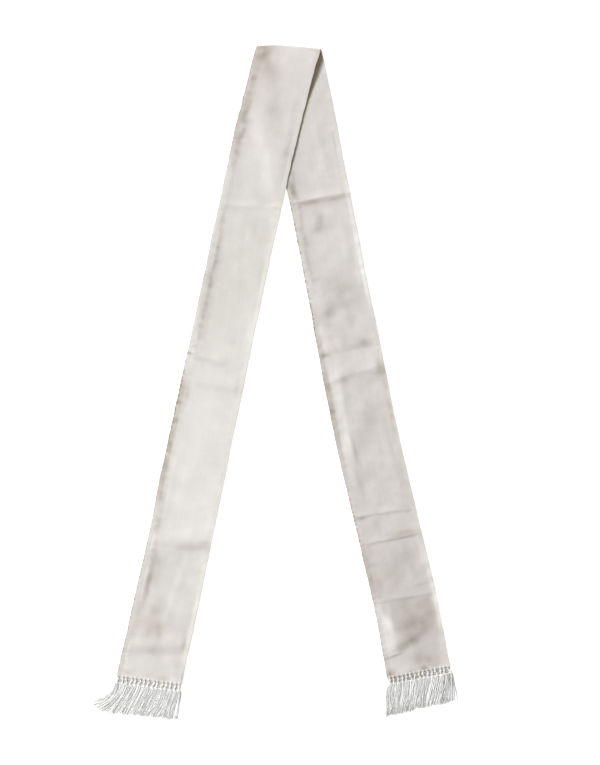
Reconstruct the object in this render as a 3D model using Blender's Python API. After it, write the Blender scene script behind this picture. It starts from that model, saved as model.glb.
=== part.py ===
"""Evening stole.

A long narrow length of silk is folded once across its middle and laid flat, so that its two
stretches lean apart like an A.  Both long sides are hemmed and both ends carry a knotted fringe.

Units are metres.  +Z is up from the surface the stole lies on, and +Y points at the fold.
The origin is under the middle of the stole's plan box, on the surface.
"""
import math
from collections import namedtuple

import bmesh
import bpy
import numpy as np
from mathutils import Vector

# ---- Driving sizes ---------------------------------------------------------------------------

LEFT_LENGTH = 0.9237          # fold to fringed end, down the middle of the front stretch
RIGHT_LENGTH = 0.9090         # the same down the rear stretch
LEAN = math.radians(12.45)    # each stretch leans this far from square to the fold
FOLD_TILT = math.radians(-1.15)   # the fold line drops to the right
LEFT_HEM_SLOPE = 0.096        # the fringed ends are not cut quite square: rise per width
RIGHT_HEM_SLOPE = 0.054

WALL = 0.0012                 # cloth and its turned facing as one wall
GAP = 0.0003                  # clearance between neighbouring solids
HEM_WIDTH = 0.006             # turned and stitched band down each long side
HEM_RISE = 0.0004             # how much thicker the band is
HEM_STEP = 0.0014             # width of the slope at the band's inner edge

FOLD_HEIGHT_LEFT = 0.0046     # the fold is a loop, pressed at its left end and open at its right
FOLD_HEIGHT_RIGHT = 0.0088
FOLD_HUMP = 0.095             # the front layer comes down from the loop over this length
FOLD_BOW_REACH = 0.080        # the fold's arched edge dies out over this length
FOLD_SEAM = 0.012             # the rear stretch starts this far behind the fold, out of sight

STEP_OFF_START = 0.014        # the front layer stays up until this far past the hidden edge
STEP_OFF_END = 0.036          # and lies on the surface from here on

ROW_PITCH = 0.013             # spacing of the plain sections down a stretch
FOLD_ROWS = (0.0120, 0.0055, 0.0037, 0.0023, 0.0011, 0.0,
             -0.0011, -0.0023, -0.0037, -0.0055, -0.0100, -0.0170, -0.0260)
INNER_SHARES = (-0.62, -0.31, 0.0, 0.31, 0.62)    # sections' points between the side hems

# ---- Tables ----------------------------------------------------------------------------------

# How a stretch wanders: distance from the fold, sideways shift, full width.
Course = namedtuple("Course", "along shift width")
LEFT_COURSE = (
    Course(0.00, 0.0000, 0.0885),
    Course(0.02, -0.0022, 0.0885),
    Course(0.15, -0.0027, 0.0890),
    Course(0.30, 0.0010, 0.0880),
    Course(0.45, 0.0050, 0.0890),
    Course(0.60, 0.0092, 0.0905),
    Course(0.75, 0.0145, 0.0910),
    Course(0.93, 0.0185, 0.0935),
)
RIGHT_COURSE = (
    Course(0.00, 0.0000, 0.0885),
    Course(0.10, 0.0010, 0.0885),
    Course(0.30, 0.0008, 0.0872),
    Course(0.45, 0.0000, 0.0895),
    Course(0.56, 0.0000, 0.0905),
    Course(0.68, 0.0035, 0.0905),
    Course(0.80, 0.0077, 0.0905),
    Course(0.91, 0.0070, 0.0920),
)

# The fold's arched edge: share of the half width, how far the edge stands forward.
FOLD_BOW = ((-1.0, 0.0000), (-0.45, 0.0026), (0.25, 0.0012), (1.0, -0.0012))

# Main creases: distance from the fold, slope across, left and right end as shares of the
# half width, full width of the ridge, its height.
Crease = namedtuple("Crease", "along slope left right width rise")
LEFT_CREASES = (
    Crease(0.2350, -0.13, -1.3, 1.4, 0.017, 0.0012),
    Crease(0.4600, 0.02, -1.4, 0.6, 0.018, 0.0014),
    Crease(0.4945, -0.03, -0.7, 1.4, 0.022, 0.0009),
    Crease(0.6960, 0.10, -1.4, -0.2, 0.016, 0.0011),
    Crease(0.7320, -0.04, -1.0, 1.4, 0.026, 0.0018),
    Crease(0.8820, -0.12, -1.3, 1.3, 0.024, 0.0010),
)
RIGHT_CREASES = (
    Crease(0.2230, 0.00, -1.4, 1.4, 0.016, 0.0016),
    Crease(0.3330, -0.20, -1.4, 0.2, 0.018, 0.0012),
    Crease(0.4430, 0.00, -1.4, 1.4, 0.015, 0.0013),
    Crease(0.4770, -0.10, -1.4, 1.4, 0.017, 0.0016),
    Crease(0.6800, 0.00, -1.4, 1.4, 0.015, 0.0012),
    Crease(0.7190, 0.00, -1.4, 1.4, 0.016, 0.0015),
    Crease(0.8050, 0.00, -1.4, 1.3, 0.018, 0.0010),
    Crease(0.8650, -0.42, -1.4, 0.9, 0.024, 0.0018),
)

# The fringe's sweep: share of the half width, the strands' angle from straight down the
# surface in degrees (positive to the right), their length below the knots.
Sweep = namedtuple("Sweep", "share angle length")
LEFT_SWEEP = (
    Sweep(-1.00, -47, 0.045),
    Sweep(-0.80, -38, 0.051),
    Sweep(-0.50, -31, 0.048),
    Sweep(0.00, -26, 0.045),
    Sweep(0.50, -22, 0.043),
    Sweep(0.85, -16, 0.041),
    Sweep(1.00, -5, 0.040),
)
RIGHT_SWEEP = (
    Sweep(-1.00, -6, 0.046),
    Sweep(-0.50, -7, 0.046),
    Sweep(0.00, -8, 0.045),
    Sweep(0.50, -9, 0.043),
    Sweep(0.80, -5, 0.042),
    Sweep(0.93, 2, 0.041),
    Sweep(1.00, 11, 0.039),
)

# One tassel's knotted head: distance below the cloth, width, height, and how round it is.
KnotRing = namedtuple("KnotRing", "reach width height roundness")
KNOT_RINGS = (
    KnotRing(0.0040, 0.0044, 0.0028, 1.0),
    KnotRing(0.0064, 0.0027, 0.0017, 1.0),
    KnotRing(0.0092, 0.0048, 0.0030, 1.0),
    KnotRing(0.0122, 0.0045, 0.0026, 0.3),
)
KNOTS_PER_END = 15
KNOT_ROOT_WIDTH = 0.0032      # width of a tassel where it leaves the backing strip
STRIP_DEPTH = 0.0020          # backing strip that the tassels hang from
STRIP_HEIGHT = 0.0013
FRINGE_LIFT = 0.0003          # lowest point of the fringe above the surface

STRANDS_ACROSS = 3            # each tassel parts into two layers of strands
STRAND_WIDTH = 0.0009
STRAND_STATIONS = (0.35, 0.70, 1.0)
STRAND_INSET = 0.0002         # keeps a strand's root apart from the next one
STRAND_LEAD = 0.24            # share of its length over which a strand swings to its sweep
LOWER_LAYER_HEIGHT = 0.0008   # middle of each layer of strands above the surface, at the tips
UPPER_LAYER_HEIGHT = 0.0021
LENGTH_VARIATION = 0.05       # strands are not all cut to one length

# colour, roughness
SILK_FRONT = ((0.78, 0.75, 0.69), 0.42)
SILK_REAR = ((0.70, 0.67, 0.62), 0.42)
RAYON = ((0.86, 0.86, 0.85), 0.50)


# ---- Helpers ---------------------------------------------------------------------------------

def ease(share):
    """Smooth step from 0 to 1 as share goes from 0 to 1."""
    share = min(max(share, 0.0), 1.0)
    return share * share * (3.0 - 2.0 * share)


def read_table(rows, position, column=1):
    """Value of one column of a table at a position, joined smoothly between its rows."""
    places = [row[0] for row in rows]
    values = [row[column] for row in rows]
    if position <= places[0]:
        return values[0]
    for index in range(1, len(rows)):
        if position <= places[index]:
            span = places[index] - places[index - 1]
            share = (position - places[index - 1]) / span
            before = max(index - 2, 0)
            after = min(index + 1, len(rows) - 1)
            start_slope = (values[index] - values[before]) / (places[index] - places[before])
            end_slope = (values[after] - values[index - 1]) / (places[after] - places[index - 1])
            cubed = share ** 3
            squared = share ** 2
            return ((2 * cubed - 3 * squared + 1) * values[index - 1]
                    + (cubed - 2 * squared + share) * span * start_slope
                    + (3 * squared - 2 * cubed) * values[index]
                    + (cubed - squared) * span * end_slope)
    return values[-1]


def make_object(name, mesh, finish):
    """Link a mesh into the scene as a named object with its own Principled material."""
    colour, roughness = finish
    material = bpy.data.materials.new(name)
    material.use_nodes = True
    shader = material.node_tree.nodes["Principled BSDF"]
    shader.inputs["Base Color"].default_value = (*colour, 1.0)
    shader.inputs["Roughness"].default_value = roughness
    shader.inputs["Metallic"].default_value = 0.0
    mesh.materials.append(material)
    piece = bpy.data.objects.new(name, mesh)
    bpy.context.collection.objects.link(piece)
    return piece


# ---- The cloth -------------------------------------------------------------------------------

class Stretch:
    """One stretch of the stole, from the fold to its fringed end.

    Cloth places are given as `along`, the distance from the fold, negative on the front
    stretch and positive on the rear one, and `across`, positive to the right.
    """

    def __init__(self, side, length, course, creases, hem_slope):
        self.side = side            # -1 for the front, left stretch and +1 for the rear one
        self.length = length
        self.course = course
        self.creases = creases
        self.hem_slope = hem_slope

    def half_width(self, along):
        return 0.5 * read_table(self.course, abs(along), 2)

    def slope(self, along):
        """Sections lie along the fold, then along each crease, then along the fringed end."""
        places = [0.0, 0.03]
        slopes = [math.tan(LEAN), math.tan(LEAN)]
        for crease in self.creases:
            places.append(crease.along)
            slopes.append(crease.slope * self.side)
        places.append(self.length)
        slopes.append(self.hem_slope)
        return float(np.interp(abs(along), places, slopes))

    def rows(self):
        """Distances from the fold at which the cloth has a section."""
        marks = []
        for crease in self.creases:
            half = 0.5 * crease.width
            marks.extend((crease.along - half, crease.along, crease.along + half))
        marks.append(self.length)
        first = FOLD_SEAM + GAP
        if self.side < 0:
            first = -FOLD_ROWS[-1]
        plain_count = int((self.length - first) / ROW_PITCH)
        for index in range(1, plain_count):
            place = first + index * (self.length - first) / plain_count
            if min(abs(place - mark) for mark in marks) > 0.6 * ROW_PITCH:
                marks.append(place)
        marks.sort()
        if self.side > 0:
            return [first] + marks
        return list(FOLD_ROWS) + [-mark for mark in marks]

    def relief(self, along, across):
        """Height of the creases at a place."""
        share = across / self.half_width(along)
        height = 0.0
        for crease in self.creases:
            distance = abs(abs(along) - crease.along - crease.slope * across)
            profile = 1.0 - ease(distance / (0.5 * crease.width))
            fade = ease((share - crease.left) / 0.5) * ease((crease.right - share) / 0.5)
            height += crease.rise * profile * fade
        return height

    def place(self, along, across):
        """Position in the fold's own frame (right, forward) and distance square to the fold."""
        right = along * math.sin(LEAN) + across * math.cos(LEAN)
        beyond = along * math.cos(LEAN) - across * math.sin(LEAN)
        shift = read_table(self.course, abs(along), 1)
        if along * self.side < 0.0:
            shift = 0.0
        right += shift * math.cos(LEAN)
        forward = -abs(beyond) + self.side * shift * math.sin(LEAN)
        share = across / self.half_width(along)
        bow = read_table(FOLD_BOW, share) * (1.0 - ease(abs(beyond) / FOLD_BOW_REACH))
        return right, forward + bow, beyond


def fold_height(share):
    """Height of the fold's loop at a share of the half width."""
    return FOLD_HEIGHT_LEFT + (FOLD_HEIGHT_RIGHT - FOLD_HEIGHT_LEFT) * ease(0.5 * (share + 1.0))


def hem_thickening(across, half_width):
    """Extra thickness of the turned hem near each long side."""
    from_edge = half_width - abs(across)
    return HEM_RISE * ease((HEM_WIDTH + HEM_STEP - from_edge) / HEM_STEP)


def front_lift(right, forward):
    """Height of the front layer's underside, which lies on the rear stretch where they cross."""
    clearance = WALL + HEM_RISE + GAP
    corner = -0.5 * LEFT_COURSE[0].width / math.cos(LEAN)
    inside = (right - corner) * math.cos(LEAN) + forward * math.sin(LEAN)
    return clearance * ease((inside + STEP_OFF_END) / (STEP_OFF_END - STEP_OFF_START))


def front_point(along, across, outside):
    """A point on the outer or inner face of the front stretch, which takes in the fold."""
    right, forward, beyond = LEFT.place(along, across)
    half = LEFT.half_width(along)
    rise = hem_thickening(across, half)
    loop = fold_height(across / half)
    radius = 0.5 * loop
    quarter = 0.5 * math.pi * (radius - 0.5 * WALL)
    if abs(beyond) <= quarter:
        turn = 0.5 * math.pi * beyond / quarter
        if outside:
            reach = radius + rise * 0.5 * (1.0 - math.sin(turn))
        else:
            reach = radius - WALL - rise * 0.5 * (1.0 + math.sin(turn))
        forward += abs(beyond) - quarter + reach * math.cos(turn)
        return Vector((right, forward, radius - reach * math.sin(turn)))
    if beyond > 0.0:
        return Vector((right, forward, 0.0 if outside else WALL + rise))
    settled = ease((abs(beyond) - quarter) / FOLD_HUMP)
    resting = front_lift(right, forward)
    held_up = (loop - WALL - (WALL + HEM_RISE + GAP)) * (1.0 - settled)
    under = resting + held_up + LEFT.relief(along, across)
    return Vector((right, forward, under + WALL + rise if outside else under))


def rear_point(along, across, outside):
    """A point on the upper or lower face of the rear stretch."""
    right, forward, _ = RIGHT.place(along, across)
    under = RIGHT.relief(along, across)
    top = under + WALL + hem_thickening(across, RIGHT.half_width(along))
    return Vector((right, forward, top if outside else under))


def section_columns(half):
    """Points across a section: both hems with their stitched steps, and the plain middle."""
    band = half - HEM_WIDTH
    foot = band - HEM_STEP
    return [-half, -band, -foot] + [share * half for share in INNER_SHARES] + [foot, band, half]


def wall_mesh(name, stretch, point):
    """Closed wall whose outer and inner faces are read from one stretch's point function."""
    builder = bmesh.new()
    faces_of_wall = []
    for outside in (True, False):
        grid = []
        for row in stretch.rows():
            slope = stretch.slope(row)
            line = []
            for across in section_columns(stretch.half_width(row)):
                line.append(builder.verts.new(point(row + slope * across, across, outside)))
            grid.append(line)
        faces_of_wall.append(grid)
    outer, inner = faces_of_wall
    last_row = len(outer) - 1
    last_column = len(outer[0]) - 1
    for row in range(last_row):
        for column in range(last_column):
            for grid in faces_of_wall:
                builder.faces.new((grid[row][column], grid[row][column + 1],
                                   grid[row + 1][column + 1], grid[row + 1][column]))
    for row in range(last_row):
        for column in (0, last_column):
            builder.faces.new((outer[row][column], outer[row + 1][column],
                               inner[row + 1][column], inner[row][column]))
    for column in range(last_column):
        for row in (0, last_row):
            builder.faces.new((outer[row][column], outer[row][column + 1],
                               inner[row][column + 1], inner[row][column]))
    return finish_mesh(name, builder)


def finish_mesh(name, builder):
    """Turn the faces outwards, put the mesh in the stole's frame and shade it smooth."""
    bmesh.ops.recalc_face_normals(builder, faces=builder.faces[:])
    mesh = bpy.data.meshes.new(name)
    builder.to_mesh(mesh)
    builder.free()
    mesh.shade_smooth()
    mesh.set_sharp_from_angle(angle=math.radians(35))
    return mesh


# ---- The fringe ------------------------------------------------------------------------------

class FringedEnd:
    """Frame of one fringed end: `hem` runs along the cloth's end and `down` away from it."""

    def __init__(self, stretch, sweep):
        end = stretch.side * stretch.length
        corners = []
        for side in (-1.0, 1.0):
            across = side * stretch.half_width(end)
            right, forward, _ = stretch.place(end + stretch.hem_slope * across, across)
            corners.append(Vector((right, forward, 0.0)))
        self.half = 0.5 * (corners[1] - corners[0]).length
        self.middle = 0.5 * (corners[0] + corners[1])
        self.hem = (corners[1] - corners[0]).normalized()
        self.down = Vector((self.hem.y, -self.hem.x, 0.0))
        self.sweep = sweep

    def point(self, along_hem, below, height):
        return self.middle + along_hem * self.hem + below * self.down + Vector((0, 0, height))

    def strand_direction(self, share):
        """Direction of the strands at a share of the half width, in the fold's frame."""
        angle = math.radians(read_table(self.sweep, share, 1)) - FOLD_TILT
        return Vector((math.sin(angle), -math.cos(angle), 0.0))


def rounded(x, z, roundness):
    """Move a point of the unit square's edge towards the circle inside it."""
    round_x = x * math.sqrt(1.0 - 0.5 * z * z)
    round_z = z * math.sqrt(1.0 - 0.5 * x * x)
    return x + (round_x - x) * roundness, z + (round_z - z) * roundness


def knot_grid(builder, end, centre, ring):
    """Grid of points over one section of a tassel's head, as columns of three."""
    columns = []
    for column in range(STRANDS_ACROSS + 1):
        x = 2.0 * column / STRANDS_ACROSS - 1.0
        points = []
        for z in (-1.0, 0.0, 1.0):
            if ring.roundness > 0.5 and z == 0.0 and abs(x) < 1.0:
                points.append(None)
                continue
            out_x, out_z = rounded(x, z, ring.roundness)
            height = FRINGE_LIFT + 0.5 * ring.height * (out_z + 1.0)
            place = end.point(centre + 0.5 * ring.width * out_x, ring.reach, height)
            points.append(builder.verts.new(place))
        columns.append(points)
    return columns


def rim(columns):
    """Points round a section's edge, in order."""
    last = len(columns) - 1
    lower = [columns[index][0] for index in range(last + 1)]
    upper = [columns[index][2] for index in range(last, -1, -1)]
    return lower + [columns[last][1]] + upper + [columns[0][1]]


def skin(builder, first, second):
    """Faces between two closed loops of as many points."""
    for index, point in enumerate(first):
        following = (index + 1) % len(first)
        builder.faces.new((point, first[following], second[following], second[index]))


def strip_sections(end):
    """Places along the hem where the backing strip has a section."""
    pitch = 2.0 * end.half / KNOTS_PER_END
    places = [-end.half]
    for knot in range(KNOTS_PER_END):
        centre = (knot + 0.5) * pitch - end.half
        for column in range(STRANDS_ACROSS + 1):
            places.append(centre + KNOT_ROOT_WIDTH * (column / STRANDS_ACROSS - 0.5))
    places.append(end.half)
    return places


def build_strip(builder, end):
    """Backing strip along the cloth's end.  Returns its front columns of three points."""
    low = FRINGE_LIFT
    high = FRINGE_LIFT + STRIP_HEIGHT
    back = []
    front = []
    for place in strip_sections(end):
        back.append([builder.verts.new(end.point(place, GAP, z)) for z in (low, high)])
        front.append([builder.verts.new(end.point(place, GAP + STRIP_DEPTH, z))
                      for z in (low, 0.5 * (low + high), high)])
    group = STRANDS_ACROSS + 1
    for index in range(len(front) - 1):
        after = index + 1
        builder.faces.new((back[index][0], back[after][0], front[after][0], front[index][0]))
        builder.faces.new((back[index][1], back[after][1], front[after][2], front[index][2]))
        builder.faces.new((back[index][0], back[after][0], back[after][1], back[index][1]))
        if index % group == 0:
            for row in (0, 1):
                builder.faces.new((front[index][row], front[after][row],
                                   front[after][row + 1], front[index][row + 1]))
    for index in (0, len(front) - 1):
        builder.faces.new((back[index][0], *front[index], back[index][1]))
    return front


def strand_station(end, root, tip_share, layer, share):
    """Middle of a strand at a share of its length."""
    length = read_table(end.sweep, tip_share, 2)
    length *= 1.0 + LENGTH_VARIATION * math.sin(37.0 * tip_share + 2.0 * layer)
    along_hem = tip_share * end.half
    head = KNOT_RINGS[-1].reach
    start = end.point(along_hem, head, 0.0)
    control = start + end.down * length * STRAND_LEAD
    tip = start + end.strand_direction(tip_share) * length
    tip.z = (LOWER_LAYER_HEIGHT, UPPER_LAYER_HEIGHT)[layer]
    control.z = 0.5 * (root.z + tip.z)
    return ((1.0 - share) ** 2 * root + 2.0 * share * (1.0 - share) * control
            + share ** 2 * tip)


def build_tassel(builder, end, knot, strip_columns):
    """Knotted head and parted strands of one tassel, grown from the backing strip."""
    pitch = 2.0 * end.half / KNOTS_PER_END
    centre = (knot + 0.5) * pitch - end.half
    previous = rim(strip_columns)
    for ring in KNOT_RINGS:
        columns = knot_grid(builder, end, centre, ring)
        current = rim(columns)
        skin(builder, previous, current)
        previous = current
    cells = []
    for column in range(STRANDS_ACROSS):
        for layer in (0, 1):
            cell = builder.faces.new((columns[column][layer], columns[column + 1][layer],
                                      columns[column + 1][layer + 1], columns[column][layer + 1]))
            cells.append((cell, column, layer))
    builder.normal_update()
    bmesh.ops.inset_individual(builder, faces=[cell for cell, _, _ in cells],
                               thickness=STRAND_INSET)
    for cell, column, layer in cells:
        spread = (column + 0.5 + 0.25 * (2 * layer - 1)) / STRANDS_ACROSS - 0.5
        tip_share = (centre + spread * pitch) / end.half
        root = cell.calc_center_median()
        for share in STRAND_STATIONS:
            middle = strand_station(end, root, tip_share, layer, share)
            offsets = []
            for vert in cell.verts:
                offset = vert.co - cell.calc_center_median()
                offsets.append((offset.dot(end.hem) > 0.0, offset.z > 0.0))
            cell = bmesh.ops.extrude_discrete_faces(builder, faces=[cell])["faces"][0]
            half = 0.5 * STRAND_WIDTH
            for vert, (to_right, to_top) in zip(cell.verts, offsets):
                sideways = end.hem * (half if to_right else -half)
                vert.co = middle + sideways + Vector((0, 0, half if to_top else -half))


def fringe_mesh(name, end):
    """One fringed end: backing strip, knotted heads and strands as one solid."""
    builder = bmesh.new()
    front = build_strip(builder, end)
    group = STRANDS_ACROSS + 1
    for knot in range(KNOTS_PER_END):
        first = 1 + knot * group
        build_tassel(builder, end, knot, front[first:first + group])
    return finish_mesh(name, builder)


# ---- Assembly --------------------------------------------------------------------------------

def settle(pieces):
    """Turn the stole by the fold's tilt and put the middle of its plan box over the origin."""
    cosine = math.cos(FOLD_TILT)
    sine = math.sin(FOLD_TILT)
    for piece in pieces:
        for vert in piece.data.vertices:
            x, y, z = vert.co
            vert.co = (x * cosine - y * sine, x * sine + y * cosine, z)
    points = [vert.co for piece in pieces for vert in piece.data.vertices]
    middle_x = 0.5 * (min(point.x for point in points) + max(point.x for point in points))
    middle_y = 0.5 * (min(point.y for point in points) + max(point.y for point in points))
    for piece in pieces:
        for vert in piece.data.vertices:
            vert.co.x -= middle_x
            vert.co.y -= middle_y


for old in list(bpy.data.objects):
    bpy.data.objects.remove(old, do_unlink=True)

LEFT = Stretch(-1, LEFT_LENGTH, LEFT_COURSE, LEFT_CREASES, LEFT_HEM_SLOPE)
RIGHT = Stretch(1, RIGHT_LENGTH, RIGHT_COURSE, RIGHT_CREASES, RIGHT_HEM_SLOPE)

settle([
    make_object("left_stretch", wall_mesh("left_stretch", LEFT, front_point), SILK_FRONT),
    make_object("right_stretch", wall_mesh("right_stretch", RIGHT, rear_point), SILK_REAR),
    make_object("left_fringe", fringe_mesh("left_fringe", FringedEnd(LEFT, LEFT_SWEEP)), RAYON),
    make_object("right_fringe", fringe_mesh("right_fringe", FringedEnd(RIGHT, RIGHT_SWEEP)), RAYON),
])
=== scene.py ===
"""Evening stole.

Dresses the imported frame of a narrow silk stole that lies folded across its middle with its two
stretches apart: the cloth with its hems and creases, the hem stitching, the knotted fringe on
both ends, and a plain studio round it.

Units are metres.  +Z is up from the surface and +Y points at the fold.  Cloth places are given
as `along`, the distance from the fold (negative down the front stretch, positive down the rear
one), and `across`, positive to the right.  A share is `across` over half the cloth's width.
"""
import math
import random
from collections import namedtuple

import bmesh
import bpy
import numpy as np
from bpy.props import FloatProperty, FloatVectorProperty, IntProperty, PointerProperty
from bpy.types import Operator, Panel, PropertyGroup
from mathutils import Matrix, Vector, noise


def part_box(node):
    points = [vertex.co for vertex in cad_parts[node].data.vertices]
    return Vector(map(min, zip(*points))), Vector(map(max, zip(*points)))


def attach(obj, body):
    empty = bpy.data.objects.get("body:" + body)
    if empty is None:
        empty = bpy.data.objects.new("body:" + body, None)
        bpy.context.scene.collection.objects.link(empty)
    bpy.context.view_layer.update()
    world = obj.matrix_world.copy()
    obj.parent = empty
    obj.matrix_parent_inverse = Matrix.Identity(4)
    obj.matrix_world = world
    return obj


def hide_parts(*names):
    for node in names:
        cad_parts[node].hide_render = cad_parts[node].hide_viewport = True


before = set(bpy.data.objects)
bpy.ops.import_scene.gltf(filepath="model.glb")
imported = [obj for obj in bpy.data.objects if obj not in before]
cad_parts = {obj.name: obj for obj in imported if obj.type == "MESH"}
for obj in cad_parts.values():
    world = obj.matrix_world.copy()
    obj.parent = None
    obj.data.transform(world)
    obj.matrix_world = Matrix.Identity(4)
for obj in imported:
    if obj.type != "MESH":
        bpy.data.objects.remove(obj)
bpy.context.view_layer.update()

bl_info = {
    "name": "Evening Stole",
    "version": (1, 0, 0),
    "blender": (4, 5, 0),
    "location": "3D View > Sidebar > Stole",
    "description": "Builds a folded silk stole with hemmed sides and knotted fringes",
    "category": "Object",
}

MM = 0.001


def table(columns, in_mm, rows):
    """Rows with named columns, of which those in `in_mm` are written in millimetres."""
    kind = namedtuple("Row", columns)
    units = [MM if name in in_mm.split() else 1.0 for name in kind._fields]
    return [kind(*(value * unit for value, unit in zip(row, units))) for row in rows]


def both(columns, in_mm, left, right):
    """The same table for the left, front stretch and for the right, rear one."""
    return table(columns, in_mm, left), table(columns, in_mm, right)


# ---- The stole's lie, as in its frame ----

LEFT_LENGTH = 0.9283              # fold to fringed end, down the middle of the front stretch
RIGHT_LENGTH = 0.9135             # the same down the rear stretch
LEAN = math.radians(12.45)        # each stretch leans this far from square to the fold
COS_LEAN, SIN_LEAN = math.cos(LEAN), math.sin(LEAN)
FOLD_TILT = math.radians(-1.15)   # the fold line drops to the right
HEM_SLOPES = (0.106, 0.010)       # the fringed ends are not cut quite square
MEAN_HALF_WIDTH = 0.0448

FOLD_HEIGHTS = (0.0046, 0.0088)   # the fold is a loop, pressed at its left end, open at its right
FOLD_HUMP = 0.095                 # the front layer comes down from the loop over this length
FOLD_BOW_REACH = 0.080            # the fold's arched edge dies out over this length
LAYER_CLEARANCE = 0.0019          # underside of the front layer where it lies on the rear one
STEP_OFF_START = 0.014            # the front layer stays up until this far past the hidden edge
STEP_OFF_END = 0.036              # and lies on the surface from here on

# The cloth's middle line and width down each stretch.
COURSES = both("along shift width", "along shift width", (
    (0, 0, 88.6), (30, -1.9, 90), (150, -2.7, 89.9), (300, 0.7, 88.6), (450, 5, 89),
    (600, 9.2, 90.5), (750, 14.3, 91.4), (930, 18.1, 94.3)), (
    (0, 0, 88.5), (100, 0.2, 88.5), (300, -0.3, 87.2), (450, -0.8, 90), (560, -1.1, 90.5),
    (680, 2.4, 90.5), (800, 6.6, 90.5), (910, 5.9, 92)))
FOLD_BOW = table("share rise", "rise", ((-1, 0), (-0.65, 1.4), (-0.3, 2.3), (0.25, 1.2), (1, -1.2)))

# The front stretch's end as the frame has it.
FRAME_END = namedtuple("End", "along shift width slope")(0.9237, 0.01836, 0.09341, 0.096)

# ---- Creases ----

# A crease across a stretch: its crest's distance from the fold at the left side, the middle and
# the right side, where it starts and stops as shares, how far its slopes reach towards the
# fold and away from it, its height, how sharp its crest is, and how dark the painted shade along
# its crest is.
CREASES = both(
    "left middle right start stop above below rise sharp soil",
    "left middle right above below rise", (
    (242, 235.8, 229, -1.3, 1.3, 10, 8, 0.9, 0.3, 0),
    (226.2, 227, 229.2, 0.45, 1.5, 3.5, 3, 0.6, 1, 0.2),
    (460, 462.5, 465, -1.5, 0.4, 10, 8, 1.2, 0.3, 0),
    (459.5, 450.9, 442, -1.5, -0.5, 3, 3, 0.7, 1, 0.3),
    (498.5, 495.5, 492.6, -0.8, 1.5, 18, 10, 0.8, 0.1, 0),
    (694, 703, 710, -1.5, -0.35, 6, 5, 0.9, 0.7, 0.15),
    (732, 725.5, 714, -1.2, 1.6, 26, 22, 1.8, 0, 0),
    (737.5, 736.8, 735.5, -1.4, 1.3, 12, 3.5, -1, 0.3, 0.08),
    (746, 753, 760, -0.7, 0.3, 10, 10, 0.7, 0, 0), (889, 877, 865, -1.4, 1.4, 18, 17, 1.5, 0, 0),
    (893, 889.5, 886, -1.5, -0.5, 3, 3, 0.5, 1, 0.25)), (
    (221.5, 221.3, 220.9, -1.4, 1.4, 11, 6, 1.5, 0.8, 0.15),
    (337.2, 326.2, 315, -1.5, -0.4, 9, 6, 1, 0.7, 0.2),
    (433, 436.5, 435, -1.3, 1.4, 14, 8, 0.7, 0, 0),
    (440.5, 444, 442.5, -1.4, 1.4, 2.5, 2.5, -0.3, 1, 0.08),
    (485, 476.5, 473.5, -1.4, 1.4, 30, 10, 1, 0.4, 0.04),
    (476, 479, 482.5, 0.45, 1.5, 3, 3, 0.6, 1, 0.25),
    (486, 489, 493.5, 0.55, 1.5, 3, 3, 0.5, 1, 0.2),
    (679.5, 680, 683.5, -1.4, 1.4, 12, 6, 1.1, 0.8, 0.1),
    (719.3, 719, 719.2, -1.4, 1.4, 16, 5, 1.6, 0.6, 0.12),
    (790, 790, 788.5, 0.2, 1.3, 8, 6, 0.6, 0.3, 0.05),
    (804.2, 804.6, 805.8, -1.4, 1.3, 10, 6, 0.9, 0.8, 0.06),
    (874, 860, 838, -0.9, 0.55, 14, 16, 1.2, 0, 0), (885, 879, 873, -1.5, -0.3, 3, 3, 0.7, 1, 0.4)))
CREASE_SPAN = 0.065               # a crease lifts the cloth only this near its middle
CREASE_FADE = 0.4                 # share over which a crease dies out at its ends

# A fold down a stretch: where it starts and stops, its crest's share there, how far its slopes
# reach to the left and right, and its height.
LONG_FOLDS = both(
    "start stop share_start share_stop left right rise",
    "start stop left right rise", (
    (30, 210, -0.6, 0.8, 18, 18, 0.3), (250, 465, -0.8, -0.72, 7, 10, 0.6),
    (255, 400, -0.2, 0.3, 14, 12, 0.4), (560, 690, 0.2, -0.25, 14, 16, 0.3),
    (595, 700, -0.6, -0.63, 7, 8, 0.4), (750, 835, -0.75, -0.71, 6, 6.5, 1),
    (750, 850, 0.35, 0.1, 12, 12, 0.5), (790, 880, -0.3, -0.45, 14, 12, 0.6)), (
    (100, 215, 0.3, 0.45, 13, 12, 0.6), (240, 330, 0.55, 0.6, 12, 9, 0.5),
    (340, 420, -0.1, 0.2, 14, 12, 0.7), (452, 665, -0.44, -0.66, 18, 12, 1.4),
    (540, 675, 0.6, 0.68, 12, 7, 0.7), (605, 675, -0.83, -0.86, 4, 3, 0.4),
    (722, 790, 0.36, 0.42, 8, 7, 0.5), (722, 775, -0.15, -0.05, 10, 8, 0.6),
    (800, 892, -0.56, -0.5, 16, 22, 1.9)))
LONG_FOLD_FADE = 0.3              # part of its length over which a long fold dies out
LONG_FOLD_SHARPNESS = 0.35
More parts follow.
